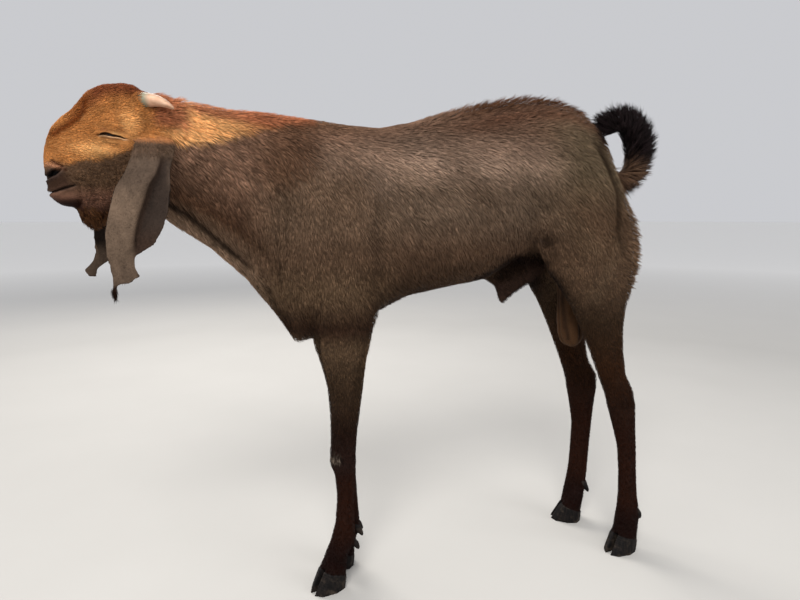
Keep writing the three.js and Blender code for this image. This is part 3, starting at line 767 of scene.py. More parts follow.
def off_lids(s, z):
    """How high each place is over the lids' middle line, and half of the opening there."""
    forward, up, half = np.array(LIDS).T
    return z - np.interp(-s, -forward, up), np.interp(-s, -forward, half, left=0.0, right=0.0)


def in_nostril(s, t, z):
    """1 inside the comma of each nostril with a soft step to 0, and how far off its rim each place is."""
    gap, share = along_line(pairs(s, z), NOSTRIL_LINE)
    half = np.interp(share, np.linspace(0.0, 1.0, len(NOSTRIL)), [row[2] for row in NOSTRIL])
    return smooth(half - gap, -0.9, 0.9) * smooth(np.abs(t), 8.0, 12.0), gap - half


def take_horn_roots(places, labels):
    """Counts the skin round each horn's root as the head's."""
    s, _, _ = in_head(places)
    return np.where(is_part(labels, "horn") & (s > -58.0), PARTS.index("head"), labels)


def horn_boss(s, t, z):
    """How far the brow's skin rises round each horn's root, which comes out of it to the rear."""
    round_root = bell((s + 52.0) / 13.0, (z - 818.0) / 15.0, (np.abs(t) - 42.0) / 14.0)
    return 5.0 * round_root * smooth(s, -62.0, -57.0)


def forehead(s, t, z):
    """How far the arched forehead rises before the crown and behind it."""
    arch = 4.6 * bell((s - 4.0) / 18.0, t / 26.0) + 2.2 * bell((s + 47.0) / 7.0, t / 20.0)
    arch -= 1.0 * bell((s + 30.0) / 7.0, t / 14.0)
    return arch * smooth(z - between(s, HEAD_TOP), -26.0, -8.0)


def face_reach(places):
    """How many times the skin's faces are halved: most at the lids, then the lips and nostrils."""
    s, t, z = in_head(places)
    spots = pairs(s, z)
    lids = off_line(spots, LID_LINE)
    mouth = off_line(spots, MOUTH_LINE)
    nostril = off_line(spots, NOSTRIL_LINE)
    on_face = (np.abs(t) < 56.0) & (s > -60.0)
    rounds = 1.0 * (lids < 20.0) + 1.0 * (lids < 11.0) + 1.0 * (lids < 5.5)
    rounds = np.maximum(rounds, 1.0 * (mouth < 12.0) + 1.0 * (mouth < 4.0))
    rounds = np.maximum(rounds, 1.0 * (nostril < 12.0) + 1.0 * (nostril < 6.0))
    return np.where(on_face, rounds, 0.0)


def lid_form(s, z):
    """How far the lids stand out round the opening, with their folds and the brow."""
    above, half = off_lids(s, z)
    opening = smooth(half - np.abs(above), -0.35, 0.35) * smooth(half, 0.05, 0.3)
    wide = fall(s, -9.0, 0.0) * smooth(s, -38.0, -28.0)
    upper = 1.3 * bell((above - half - 2.0) / 1.7) * wide
    lid = 1.0 * bell((above - 8.0) / 5.0, (s + 20.0) / 13.0)
    crease = -1.7 * bell((above - 11.5 + 0.012 * (s + 18.0) ** 2) / 1.8, (s + 18.0) / 17.0)
    brow = 3.0 * bell((above - 19.0) / 7.5, (s + 22.0) / 19.0)
    lower = 1.3 * bell((above + half + 1.5) / 1.1) * wide
    under = -1.2 * bell((above + half + 4.2) / 1.6, (s + 17.0) / 13.0)
    pouch = 0.9 * bell((above + 9.0) / 2.6, (s + 18.0) / 15.0)
    hollow = -1.4 * bell((above + 14.0) / 3.2, (s + 16.0) / 18.0)
    corner = -2.2 * bell((s - 0.5) / 3.0, (z - 768.2) / 1.8)
    folds = upper + lid + crease + brow + lower + under + pouch + hollow + corner
    return -7.0 * opening + (1.0 - opening) * folds


def lip_form(s, t, z):
    """The mouth's groove with full lips either side, the nostrils and the groove between them."""
    gap, share = along_line(pairs(s, z), MOUTH_LINE)
    ends = smooth(1.0 - share, 0.0, 0.10)
    mouth = -3.8 * bell(gap / 1.25) * ends + 1.1 * bell((gap - 4.2) / 2.4) * ends
    inside, off_rim = in_nostril(s, t, z)
    rim = 1.0 * bell((off_rim - 2.2) / 1.8) * smooth(np.abs(t), 8.0, 12.0)
    philtrum = -1.8 * bell(t / 1.6, (z - 708.0) / 13.0) * smooth(s, 55.0, 62.0)
    return mouth + rim * (1.0 - inside) - 8.5 * inside + philtrum


# Folds of the face on both sides, in the head's frame: a bent line, its reach and its depth.
# The hair is painted with shade in these folds and with light on the raised forms.
FACE_FOLDS = [
    (WING_CREASE, 2.0, 2.6),
    (WING, 2.6, -1.4),
    ([(17, 818), (20, 804), (22, 790)], 3.4, 2.6),
    ([(27, 812), (28, 798), (26, 786)], 4.0, -1.4),
    ([(32, 807), (35, 796)], 2.2, 1.4),
    ([(31, 708), (26, 707.7), (21, 706)], 1.6, 2.0),
    ([(28, 700), (27, 690), (27, 680), (29, 671)], 2.2, 2.6),
    ([(21, 703), (19, 692), (17, 682)], 2.6, -1.3),
    ([(14, 704), (12, 692), (8, 682)], 2.2, 1.6),
    ([(36, 716), (28, 718), (18, 714)], 4.5, -1.4),
    ([(8, 745), (-6, 734), (-16, 720)], 9.0, 1.8),
    ([(-16, 738), (-30, 724), (-34, 706)], 12.0, -2.4),
    ([(46, 744), (34, 750), (20, 752)], 8.0, -1.6),
    ([(-46, 758), (-58, 776), (-62, 796)], 8.0, 2.2),
    ([(60, 684), (46, 682), (34, 684)], 5.0, -1.2),
    ([(4, 790), (-8, 800), (-24, 806)], 7.0, 1.6),
    ([(-40, 806), (-46, 818), (-50, 830)], 5.0, 1.6),
]


def ear_form(places, normals, labels):
    """Faint veins and wrinkles on the ears, and the crease that runs down behind the front lobe."""
    s, t, z = in_head(places)
    wrinkles = 0.30 * ripple(places * (1.0, 1.0, 0.4), 22.0, 5)
    wrinkles = wrinkles + 0.16 * ripple(places * (0.6, 1.0, 1.0), 8.0, 6)
    creases = -0.5 * bell((z - 585.0 - 0.6 * (s + 24.0)) / 2.0)
    creases = creases - 0.4 * bell((z - 577.0 - 0.8 * (s + 20.0)) / 1.6)
    behind = between(z, EAR_FOLD) + far_ear_forward(t, z) - s
    outer = smooth(normals[:, 1] * np.sign(t), 0.0, 0.4)
    outer = outer * smooth(z, 606.0, 622.0) * fall(z, 728.0, 745.0)
    fold = 1.3 * bell((behind + 2.0) / 2.6) - 2.6 * bell((behind - 4.0) / 2.6)
    spots = pairs(s - far_ear_forward(t, z), z)
    second = -1.0 * bell(off_line(spots, EAR_SECOND_FOLD) / 2.2)
    vein = 0.5 * bell(off_line(spots, EAR_VEIN) / 2.4)
    return is_part(labels, "ear") * (wrinkles + creases + outer * (fold + second + vein))


def carve_face(mesh, labels):
    """Lids, lips, nostrils and the folds of the face, then the ears' small wrinkles."""
    places = on_goat(points_of(mesh))
    normals = normals_of(mesh)
    s, t, z = in_head(places)
    sideways = smooth(np.abs(normals[:, 1]), 0.25, 0.6)
    face = is_part(labels, "head", "jaw", "eye", "beard") * (s > -70.0)
    out = lid_form(s, z) * sideways * face * (s > -60.0)
    out += lip_form(s, t, z) * face * (s > 15.0)
    for line, reach, depth in FACE_FOLDS:
        gap, share = along_line(pairs(s, z), line)
        out -= depth * bell(gap / reach) * fade_ends(share, 0.3, 0.2) * sideways * face
    out += ear_form(places, normals, labels)
    out += horn_boss(s, t, z) * is_part(labels, "head", "horn")
    out += forehead(s, t, z) * is_part(labels, "head")
    move_points(mesh, points_of(mesh) + normals * out[:, None] * MM)


def make_skin():
    """The skin's mesh, with each vertex's part and the depth of the coat over it."""
    form, owner = gather(NODES)
    form.faces.ensure_lookup_table()
    tree = BVHTree.FromBMesh(form)
    mesh = cast_skin(form, owner)
    nearest = [tree.find_nearest(point)[2] for point in points_of(mesh)]
    labels = take_horn_roots(on_goat(points_of(mesh)), owner[nearest])
    net = Net(mesh)
    # The solids' edges and the voxels' steps are smoothed away, most on the trunk and neck.
    rounds = by_part(labels, 22.0, trunk=100.0, neck=90.0, head=14.0, ear=9.0, upper_leg=46.0, claw=3.0,
                     horn=3.0, sheath=90.0, beard=14.0, jaw=12.0)
    move_points(mesh, net.relax(points_of(mesh), net.blur(rounds, 40)))
    # The skin sinks under the coat, in three steps so that thin parts don't cross.
    depth = coat_depth(on_goat(points_of(mesh)), labels, net)
    sink = depth + net.blur(by_part(labels, 0.0, ear=EAR_SWELL - SWELL), 6)
    for _ in range(3):
        sunk = points_of(mesh) - normals_of(mesh) * sink[:, None] * MM / 3.0
        move_points(mesh, net.relax(sunk, by_part(labels, 3.0, ear=1.0, claw=0.0, horn=0.0, jaw=0.0)))
    return_to_depth(mesh, tree, depth, labels, net)
    move_points(mesh, metres(draw_out_sheath(on_goat(points_of(mesh)), labels)))
    press_folds(mesh, labels)
    return refined(mesh, labels, depth)


def refined(mesh, labels, depth):
    """The skin with larger faces on body and legs, smaller ones on the face, and the face's features."""
    whole = points_of(mesh)
    fine = is_part(labels, "head", "jaw", "eye", "beard", "ear", "horn")
    ratio = SKIN_FACES / (2.0 * len(mesh.polygons))
    mesh = changed(mesh, "DECIMATE", group=np.where(fine, 0.0, 1.0), ratio=ratio, vertex_group_factor=0.0)
    mesh = split_near(mesh, face_reach, 3)
    row = carry_over(whole, points_of(mesh))
    labels, depth = labels[row], depth[row]
    face = face_reach(on_goat(points_of(mesh))) > 0.0
    net = Net(mesh)
    move_points(mesh, net.relax(points_of(mesh), 4.0 * face))
    carve_face(mesh, labels)
    points = points_of(mesh)
    points[:, 2] = np.maximum(points[:, 2], MM)
    move_points(mesh, points)
    return mesh, labels, net.blur(depth, 2)


def unwrap(piece):
    """Lays the skin's own shape out flat, in the map that the coat shares."""
    piece.data.uv_layers.new(name="OFBake")
    bpy.context.view_layer.objects.active = piece
    piece.select_set(True)
    bpy.ops.object.mode_set(mode="EDIT")
    bpy.ops.mesh.select_all(action="SELECT")
    bpy.ops.uv.smart_project(angle_limit=math.radians(66.0), island_margin=0.001)
    bpy.ops.object.mode_set(mode="OBJECT")
    piece.select_set(False)
    flat = np.empty(len(piece.data.loops) * 2, np.float32)
    piece.data.uv_layers["OFBake"].uv.foreach_get("vector", flat)
    return flat.reshape(-1, 3, 2).astype(float)


# ---- markings: the colours of coat and skin ----------------------------------------------------

RIDGE = seen(72, 44, 24)
RIDGE_RED = seen(93, 59, 42)
LOIN = seen(113, 88, 72)
FLANK = seen(170, 145, 126)
FLANK_HIGH = seen(124, 104, 87)
FLANK_MID = seen(105, 82, 65)
FLANK_LOW = seen(78, 59, 44)
BELLY = seen(34, 19, 11)
# The groin's dark skin, also laid as painted shade between the legs, in a furrow and in a hollow.
GROIN_SKIN_AND_SHADE = seen(30, 19, 14)
SHAWL = seen(107, 75, 54)
SHAWL_EDGE = seen(66, 44, 31)
WITHERS = seen(94, 67, 45)
SHOULDER = seen(104, 82, 65)
SHOULDER_HIGH = seen(116, 94, 76)
CHEST = seen(108, 87, 67)
BRISKET = seen(62, 44, 33)
HIP = seen(113, 97, 77)
THIGH = seen(104, 82, 64)
THIGH_LOW = seen(59, 44, 31)
NECK_SIDE = seen(135, 105, 86)
NECK_LOW = seen(79, 56, 41)
THROAT = seen(139, 115, 95)
# Painted sunlight: the head's and neck's brown coat made ginger, as it looks in the sun.
GINGER = seen(255, 197, 131)
GINGER_EDGE = seen(168, 113, 71)
CHEEK_GINGER = seen(190, 127, 71)
SUN_HIGHLIGHT = seen(253, 195, 126)
FOREHEAD = seen(127, 70, 42)
NOSE_TOP = seen(116, 60, 24)
POLL = seen(176, 110, 78)
MUZZLE = seen(100, 76, 57)
JAW = seen(134, 97, 79)
CHIN = seen(34, 10, 4)
BEARD = seen(78, 51, 31)
UPPER_LIP = seen(61, 42, 31)
LIP = seen(26, 16, 13)
LIP_HIGHLIGHT = seen(86, 62, 50)
NOSTRIL_RIM = seen(50, 38, 33)
NOSTRIL_SHADE = seen(10, 8, 8)
WING_HIGHLIGHT = seen(172, 122, 92)
WING_CREASE_SHADE = seen(74, 36, 22)
LID_RIM = seen(208, 169, 131)
LID_HIGHLIGHT = seen(220, 176, 118)
LASH = seen(44, 22, 12)
EAR_FRONT = seen(102, 85, 71)
EAR_REAR = seen(53, 43, 37)
EAR_BASE = seen(90, 71, 57)
EAR_INNER_SHADE = seen(26, 18, 14)
EAR_LOW = seen(56, 40, 31)
TASSEL = seen(40, 24, 17)
TAIL = seen(21, 15, 16)
TAIL_BASE = seen(96, 74, 58)
TAIL_SHADE = seen(34, 24, 19)
BARE_SKIN = seen(76, 52, 33)
SHEATH = seen(50, 35, 28)
FOREARM = seen(68, 52, 38)
FOREARM_LOW = seen(36, 21, 14)
KNEE = seen(43, 27, 23)
SHANK = seen(56, 34, 19)
HOCK = seen(43, 24, 14)
CANNON = seen(40, 17, 7)
PASTERN = seen(24, 5, 2)
CALLUS = seen(126, 114, 102)
CALLUS_EDGE = seen(24, 15, 12)
SCROTUM_FOLD_SHADE = seen(26, 15, 9)

# Colours at rising heights. On trunk and rump they darken towards belly, brisket and lower thigh and lighten
# high on the flank and hip: partly the coat's own tones, partly painted shade below and painted light above.
BACK_BANDS = [(430, BELLY), (500, BELLY), (550, FLANK_LOW), (605, FLANK_MID), (665, FLANK_HIGH),
              (700, FLANK_HIGH), (742, FLANK), (800, LOIN), (850, LOIN)]
SHOULDER_BANDS = [(440, BRISKET), (485, BRISKET), (540, CHEST), (600, SHOULDER), (650, SHOULDER_HIGH),
                  (715, SHOULDER_HIGH), (785, NECK_SIDE), (817, WITHERS)]
FORE_BANDS = [(20, PASTERN), (70, PASTERN), (110, CANNON), (200, CANNON), (235, KNEE), (290, FOREARM_LOW),
              (380, FOREARM), (470, CHEST)]
RUMP_BANDS = [(460, THIGH_LOW), (560, THIGH), (660, THIGH), (735, HIP), (800, HIP), (850, LOIN)]
HIND_BANDS = [(20, PASTERN), (70, PASTERN), (110, CANNON), (240, CANNON), (310, HOCK), (380, SHANK),
              (470, THIGH_LOW), (560, THIGH)]
# Darker down to the chin: partly its own dark brown, partly painted shade under the jaw.
HEAD_BANDS = [(664, CHIN), (684, JAW), (702, MUZZLE), (745, MUZZLE)]
# Colours from the neck's lower edge, 0, to its crest, 1.
NECK_BANDS = [(0.0, THROAT), (0.1, THROAT), (0.3, NECK_LOW), (0.6, NECK_SIDE), (1.0, NECK_SIDE)]

# Bent lines in the side view, on the body and on the head, for the coat's streaks and patches and for
# painted light and shade: a highlight high on the flank, along the thigh's crest and the hock's cord, and
# shade in the groin's arch and the rump's groove.
GROIN_ARCH = [(-270, 548), (-318, 578), (-352, 584), (-392, 566), (-432, 530)]
FLANK_HIGHLIGHT_LINE = [(-8, 748), (-60, 754), (-84, 716)]
DARK_PATCH = [(-190, 752), (-224, 718), (-262, 668)]
THIGH_CREST = [(-322, 735), (-352, 690), (-420, 650), (-470, 600)]
HOCK_CORD = [(-476, 520), (-500, 560), (-520, 610)]
RUMP_GROOVE = [(-486, 782), (-512, 740), (-527, 690), (-523, 640)]
NOSE_BRIDGE = [(15, 814), (18, 802), (28, 789), (42, 779), (57, 768)]
# The nape's top edge: how far back in the head's frame, and height.
NAPE = [(100, 828), (150, 819), (200, 813), (300, 805)]


def banded(value, bands):
    """A colour for each point, from bands at rising heights."""
    heights = [height for height, _ in bands]
    channels = np.array([colour for _, colour in bands]).T
    return np.stack([np.interp(value, heights, channel) for channel in channels], axis=1)


def lay(colours, *layers):
    """Colours laid over the others in turn, each where its mask is 1."""
    for colour, mask in layers:
        colours = colours + np.clip(mask, 0.0, 1.0)[:, None] * (colour - colours)
    return colours


def plain(colour, count):
    """The same colour for each of so many points."""
    return np.repeat(colour[None], count, axis=0)


def body_colours(x, y, z):
    """Back, flank, shoulder, rump and legs, with the streaks and patches on them."""
    spots = pairs(x, z)
    under_top = z - between(x, BACK_LINE)
    hind = fall(x, -290.0, -170.0)
    inside = fall(np.abs(y), 56.0, 84.0) * fall(x, -330.0, -296.0)
    arch = off_line(spots, GROIN_ARCH)
    shawl = np.hypot((x - 82.0) / 64.0, (z - 772.0) / 68.0)
    return lay(
        banded(z, BACK_BANDS),
        (banded(z, SHOULDER_BANDS), smooth(x, -150.0, -20.0)),
        (banded(z, RUMP_BANDS), fall(x, -450.0, -330.0)),
        (banded(z, HIND_BANDS), fall(z, 500.0, 570.0) * fall(x, -380.0, -330.0)),
        (banded(z, FORE_BANDS), fall(z, 440.0, 480.0) * smooth(x, -130.0, -90.0)),
        (RIDGE_RED, 0.55 * bell((under_top + 40.0) / 14.0) * hind),
        (RIDGE, smooth(under_top, -34.0, -16.0) * hind),
        # painted shadow of the tail's tip on the rump
        (TAIL_SHADE, 1.2 * bell((x + 506.0) / 19.0, (z - 806.0) / 24.0)),
        # painted shade between the hind legs and inside the groin's arch, where the skin is also dark
        (GROIN_SKIN_AND_SHADE, 0.85 * inside * fall(z, 580.0, 606.0) * smooth(x, -470.0, -430.0)),
        (GROIN_SKIN_AND_SHADE, 0.9 * bell(arch / 11.0) * fall(np.abs(y), 62.0, 82.0)),
        (GROIN_SKIN_AND_SHADE, 0.6 * bell(arch / 8.0) * smooth(x, -345.0, -315.0)),
        (SHAWL, 0.55 * smooth(1.3 - shawl, 0.0, 0.6)),
        (SHAWL_EDGE, 0.4 * bell((shawl - 1.0) / 0.07) * fall(x, 45.0, 75.0)),
        # a painted highlight high on the flank behind the shoulder
        (FLANK, 0.4 * bell(off_line(spots, FLANK_HIGHLIGHT_LINE) / 26.0)),
        (FLANK_LOW, 0.3 * bell(off_line(spots, DARK_PATCH) / 20.0)),
        # painted shade in the hollow at the stifle
        (GROIN_SKIN_AND_SHADE, 0.7 * bell((x + 388.0) / 15.0, (z - 616.0) / 17.0)),
        # painted highlights along the thigh's crest and the hock's cord
        (HIP, 0.2 * bell(off_line(spots, THIGH_CREST) / 20.0)),
        (HIP, 0.2 * bell(off_line(spots, HOCK_CORD) / 16.0)),
        # painted shade in the groove beside the rump
        (THIGH_LOW, 0.75 * bell(off_line(spots, RUMP_GROOVE) / 8.0)),
    )


def neck_colours(x, z):
    """From the throat up to the crest, with painted shade in the furrow before the shoulder."""
    furrow = off_line(pairs(x, z), NECK_FURROW)
    return lay(banded(up_neck(x, z), NECK_BANDS), (GROIN_SKIN_AND_SHADE, 0.75 * bell(furrow / 5.0)))


def head_colours(s, t, z):
    """The face below the painted sunlight: muzzle, lips, cheeks, jaw and chin, with painted shade under the
    chin, in the mouth's groove and in the nostrils, and a painted highlight along the lips.
    """
    lips = off_line(pairs(s, z), MOUTH_LINE)
    inside, off_rim = in_nostril(s, t, z)
    return lay(
        banded(z, HEAD_BANDS),
        (UPPER_LIP, smooth(s, 30.0, 46.0) * smooth(z, 690.0, 694.0) * fall(z, 712.0, 724.0)),
        # painted shade under the chin, over its own dark brown
        (CHIN, smooth(s, 20.0, 32.0) * fall(z, 674.0, 690.0)),
        # a painted highlight along the lips, and painted shade in the mouth's groove
        (LIP_HIGHLIGHT, 0.45 * bell((lips - 3.4) / 1.4) * smooth(s, 26.0, 36.0)),
        (LIP, bell(lips / 1.7) * smooth(s, 26.0, 32.0)),
        (NOSTRIL_RIM, 0.8 * fall(off_rim, 1.0, 7.0) * smooth(np.abs(t), 6.0, 12.0)),
        # painted shade inside each nostril
        (NOSTRIL_SHADE, inside),
    )


def sunlit_colours(s, t, z):
    """Painted sunlight on cheeks, forehead, nose, poll and neck: their brown coat made ginger as it looks in
    the sun.
    """
    under_top = z - between(s, HEAD_TOP)
    crown = smooth(under_top, -34.0, -6.0) * smooth(s, -78.0, -55.0)
    nose = 0.65 * smooth(under_top, -28.0, -8.0) * smooth(s, 5.0, 25.0) * fall(s, 32.0, 48.0)
    bridge = off_line(pairs(s, z), NOSE_BRIDGE)
    poll = fall(s, -78.0, -64.0) * smooth(s, -124.0, -108.0) * smooth(z, 776.0, 796.0)
    nape = fall(s, -130.0, -100.0) * smooth(z - between(-s, NAPE), -20.0, -5.0)
    colours = lay(
        plain(GINGER, len(s)),
        (GINGER_EDGE, fall(s, -240.0, -150.0)),
        (CHEEK_GINGER, smooth(s, -120.0, -70.0)),
        # painted sun highlights on the side of the face
        (SUN_HIGHLIGHT, bell((s - 6.0) / 26.0, (z - 750.0) / 10.0)),
        (SUN_HIGHLIGHT, 0.7 * bell((s + 40.0) / 12.0, (z - 786.0) / 16.0)),
        (FOREHEAD, crown * fall(s, 0.0, 30.0)),
        (NOSE_TOP, nose),
        (NOSE_TOP, 1.0 * bell(bridge / 5.5)),
        (NOSE_TOP, 0.2 * bell((s - 52.0) / 10.0, (z - 750.0) / 12.0)),
        (POLL, 0.9 * poll),
        (POLL, 0.9 * nape),
    )
    streak = np.stack([0.35 * s, t, z], axis=1)
    tone = 1.0 + 0.12 * ripple(streak, 11.0, 51) + 0.09 * ripple(streak, 5.0, 52)
    return colours * tone[:, None]


def nose_and_lid_colours(colours, s, t, z):
    """The wing and crease over each nostril with painted light and shade, the pale rim of the lower lid, a
    painted highlight on the upper lid with painted shade in its folds, the dark lash line and painted shade
    in the eye's front corner.
    """
    spots = pairs(s, z)
    above, half = off_lids(s, z)
    apart = np.abs(t) > LIDS_APART
    side = apart * fall(s, -3.0, 1.0) * smooth(s, -40.0, -34.0)
    return lay(
        colours,
        # painted light on the raised wing over each nostril, and painted shade in the crease above it
        (WING_HIGHLIGHT, 0.8 * bell(off_line(spots, WING) / 3.4)),
        (WING_CREASE_SHADE, 0.9 * bell(off_line(spots, WING_CREASE) / 2.0)),
        # a painted highlight on the upper lid
        (LID_HIGHLIGHT, 0.6 * bell((s + 23.0) / 6.0, (above - half - 3.0) / 1.8) * side),
        # painted shade in the folds above the eye
        (FOREHEAD, 0.6 * bell((s + 8.0) / 5.0, (above - 6.0) / 3.0) * side),
        (FOREHEAD, 0.35 * bell((s + 30.0) / 10.0, (above - 10.0) / 3.0) * side),
        (LID_RIM, 0.85 * bell((above + half + 1.6) / 1.1) * side),
        (LASH, smooth(half + 0.9 - np.abs(above - 0.3), -0.5, 0.5) * side),
        # painted shade in the eye's front corner
        (LASH, 0.9 * bell((s + 0.5) / 2.6, (z - 768.0) / 1.5) * apart),
    )


def ear_colours(s, t, z, inner):
    """Grey-brown and paler on the front lobe and darker on the rear one, with painted shade in the fold and
    on the inner face, and the head's painted sunlight at the root.
    """
    forward = far_ear_forward(t, z)
    behind = between(z, EAR_FOLD) + forward - s
    rim = bell((s - between(z, EAR_BACK_EDGE) - forward) / 2.4) * smooth(z, 606.0, 620.0)
    colours = lay(
        plain(EAR_FRONT, len(s)),
        (EAR_REAR, 0.35 * fall(z, 575.0, 610.0)),
        (EAR_REAR, smooth(behind, -2.0, 3.0) * fall(z, 728.0, 748.0)),
        (EAR_LOW, 0.8 * fall(z, 615.0, 650.0) * smooth(behind, 0.0, 10.0)),
        # painted shade in the fold behind the front lobe
        (EAR_LOW, 0.6 * bell(behind / 3.0) * fall(z, 725.0, 745.0)),
        (EAR_FRONT, 0.55 * rim * fall(z, 735.0, 745.0)),
        (EAR_LOW, 0.75 * bell((behind - 4.0) / 2.6) * fall(z, 725.0, 745.0)),
        # painted shade on the ear's inner face
        (EAR_INNER_SHADE, inner * (0.35 + 0.6 * smooth(z, 596.0, 620.0))),
        (EAR_REAR, 0.45 * smooth(z, 680.0, 705.0) * (1.0 - inner)),
        (EAR_BASE, 0.8 * smooth(z, 728.0, 752.0)),
        # the head's painted sunlight over the ear's root
        (GINGER_EDGE, smooth(z, 757.0, 768.0)),
    )
    grain = np.stack([s, t, 0.35 * z], axis=1)
    fleck = 1.0 + 0.10 * ripple(grain, 9.0, 41) + 0.08 * ripple(grain, 3.5, 42)
    return lay(colours * fleck[:, None], (TASSEL, fall(z, 560.0, 566.0)))


def tail_colours(x, z):
    """Nearly black, and brown low down where the tail leaves the rump."""
    off_hole = np.hypot(x - TAIL_HOLE[0], z - TAIL_HOLE[1])
    base = fall(z, 730.0, 766.0) * fall(off_hole, 54.0, 76.0)
    return lay(plain(TAIL, len(x)), (TAIL_BASE, base))


def markings(places, normals, labels):
    """The colour of the coat at each place, the same for the tufts and the skin under them, with painted
    sunlight, shade and highlights in it.
    """
    x, y, z = places.T
    s, t, _ = in_head(places)
    on_head = is_part(labels, "head", "jaw", "eye", "horn")
    # lit: where sunlight is painted over head and neck, above the line with a soft edge.
    line = between(s, SUNLIT_LINE) + 2.5 * ripple(places, 22.0, 8)
    soft = np.interp(s, [-300.0, -120.0], [9.0, 4.5])
    lit = smooth((z - line) / soft, -1.0, 1.0)
    lit = lit * is_part(labels, "head", "jaw", "eye", "horn", "neck", "trunk")
    colours = lay(
        body_colours(x, y, z),
        (neck_colours(x, z), smooth(x, 70.0, 150.0)),
        (head_colours(s, t, z), on_head * smooth(s, -115.0, -80.0)),
        (BEARD, 1.0 * is_part(labels, "beard")),
        (sunlit_colours(s, t, z), lit),
    )
    face = on_head * (s > -45.0)
    colours = np.where(face[:, None] > 0.0, nose_and_lid_colours(colours, s, t, z), colours)
    # inner: the ears' inner faces, where shade is painted
    inner = fall(normals[:, 1] * np.sign(t), -0.4, 0.1)
    callus = off_callus(x, y, z)
    colours = lay(
        colours,
        (ear_colours(s, t, z, inner), 1.0 * is_part(labels, "ear")),
        (tail_colours(x, z), 1.0 * is_part(labels, "tail")),
        (BARE_SKIN, 1.0 * is_part(labels, "scrotum")),
        # painted shade in the scrotum's folds
        (SCROTUM_FOLD_SHADE, 0.75 * in_pouch_folds(x, z) * is_part(labels, "scrotum")),
        (SHEATH, 1.0 * is_part(labels, "sheath")),
        (CALLUS, bell((callus - 4.5) / 2.0)),
        (CALLUS_EDGE, 0.8 * bell((callus - 8.5) / 2.2)),
    )
    mottle = 1.0 + 0.09 * ripple(places, 46.0, 11) + 0.07 * ripple(places, 17.0, 12)
    side = is_part(labels, "trunk", "neck", "upper_leg")
    face = is_part(labels, "head", "jaw", "beard") * (s > -70.0)
    # deep: the painted shade of the folds, and the painted light of the raised forms
    deep = fold_shade(pairs(x, z), BODY_FOLDS) * side
    deep = deep + fold_shade(pairs(s, z), FACE_FOLDS) * face * (np.abs(t) > 12.0)
    return colours * (mottle * (1.0 - np.clip(deep, -0.3, 0.6)))[:, None]


def fold_shade(spots, folds):
    """Painted shade: how much darker the hair is made in each fold, and painted light: how much lighter on
    each raised form.
    """
    total = np.zeros(len(spots))
    for line, reach, depth in folds:
        gap, share = along_line(spots, line)
        narrow = min(1.0, 12.0 / reach)
        strength = 0.32 * narrow * min(depth / 2.5, 1.0) if depth > 0.0 else -0.14 * narrow
        total += strength * bell(gap / (0.8 * reach)) * fade_ends(share, 0.25, 0.2)
    return total


# ---- the lie of the coat -----------------------------------------------------------------------

# How many degrees under level the hair lies: at rising heights, and on the neck from its lower
# edge, 0, to its crest, 1.
FLANK_LIE = [(440, 12), (500, 40), (570, 64), (680, 58), (750, 32), (800, 14), (850, 8)]
SHOULDER_LIE = [(440, 55), (520, 80), (650, 82), (740, 62), (800, 30), (830, 10)]
THIGH_LIE = [(450, 86), (560, 84), (680, 66), (760, 42), (820, 22), (860, 12)]
FACE_LIE = [(670, 20), (700, 34), (740, 26), (790, -8), (830, -14)]
NECK_LIE = [(0.0, 58), (0.3, 66), (0.75, 42), (1.0, 8)]
LEG_LIE = 82.0
FRINGE_LIE = 22.0
EAR_LIE = 80.0
POLL_LIE = 8.0


def swept(down, yaw=0.0):
    """The way back and down: degrees under level, for each point."""
    angle = np.radians(down)
    return np.stack([-np.cos(angle) * math.cos(yaw), -np.cos(angle) * math.sin(yaw), -np.sin(angle)], axis=1)


def lie_of_coat(places, labels):
    """Which way the hair lies at each place, before it is laid along the skin."""
    x, _, z = places.T
    s, _, _ = in_head(places)
    down = between(z, FLANK_LIE)
    down = down + (between(z, SHOULDER_LIE) - down) * smooth(x, -130.0, 0.0)
    down = down + (between(up_neck(x, z), NECK_LIE) - down) * smooth(x, 60.0, 150.0)
    down = down + (between(z, THIGH_LIE) - down) * fall(x, -470.0, -360.0)
    leg = is_part(labels, "upper_leg", "cannon", "claw", "scrotum")
    lie = np.where(leg[:, None], swept(np.full(len(x), LEG_LIE)), swept(down))
    edge = fall(x, -560.0, -525.0) * smooth(z, 450.0, 500.0) * fall(z, 640.0, 700.0)
    lie = lie + (swept(np.full(len(x), FRINGE_LIE)) - lie) * edge[:, None]
    down = between(z, FACE_LIE)
    down = down + (POLL_LIE - down) * fall(s, -110.0, -70.0)
    face = swept(down, HEAD_YAW)
    lie = np.where(is_part(labels, "head", "eye", "horn", "jaw")[:, None], face, lie)
    hanging = swept(np.full(len(x), EAR_LIE), HEAD_YAW)
    lie = np.where(is_part(labels, "ear", "beard")[:, None], hanging, lie)
    spoke = from_tail_hole(places)
    around = np.stack([spoke[:, 2], 0.0 * x, -spoke[:, 0]], axis=1)
    return np.where(is_part(labels, "tail")[:, None], unit(spoke * 0.9 + around * 0.7), lie)


# ---- tufts -------------------------------------------------------------------------------------

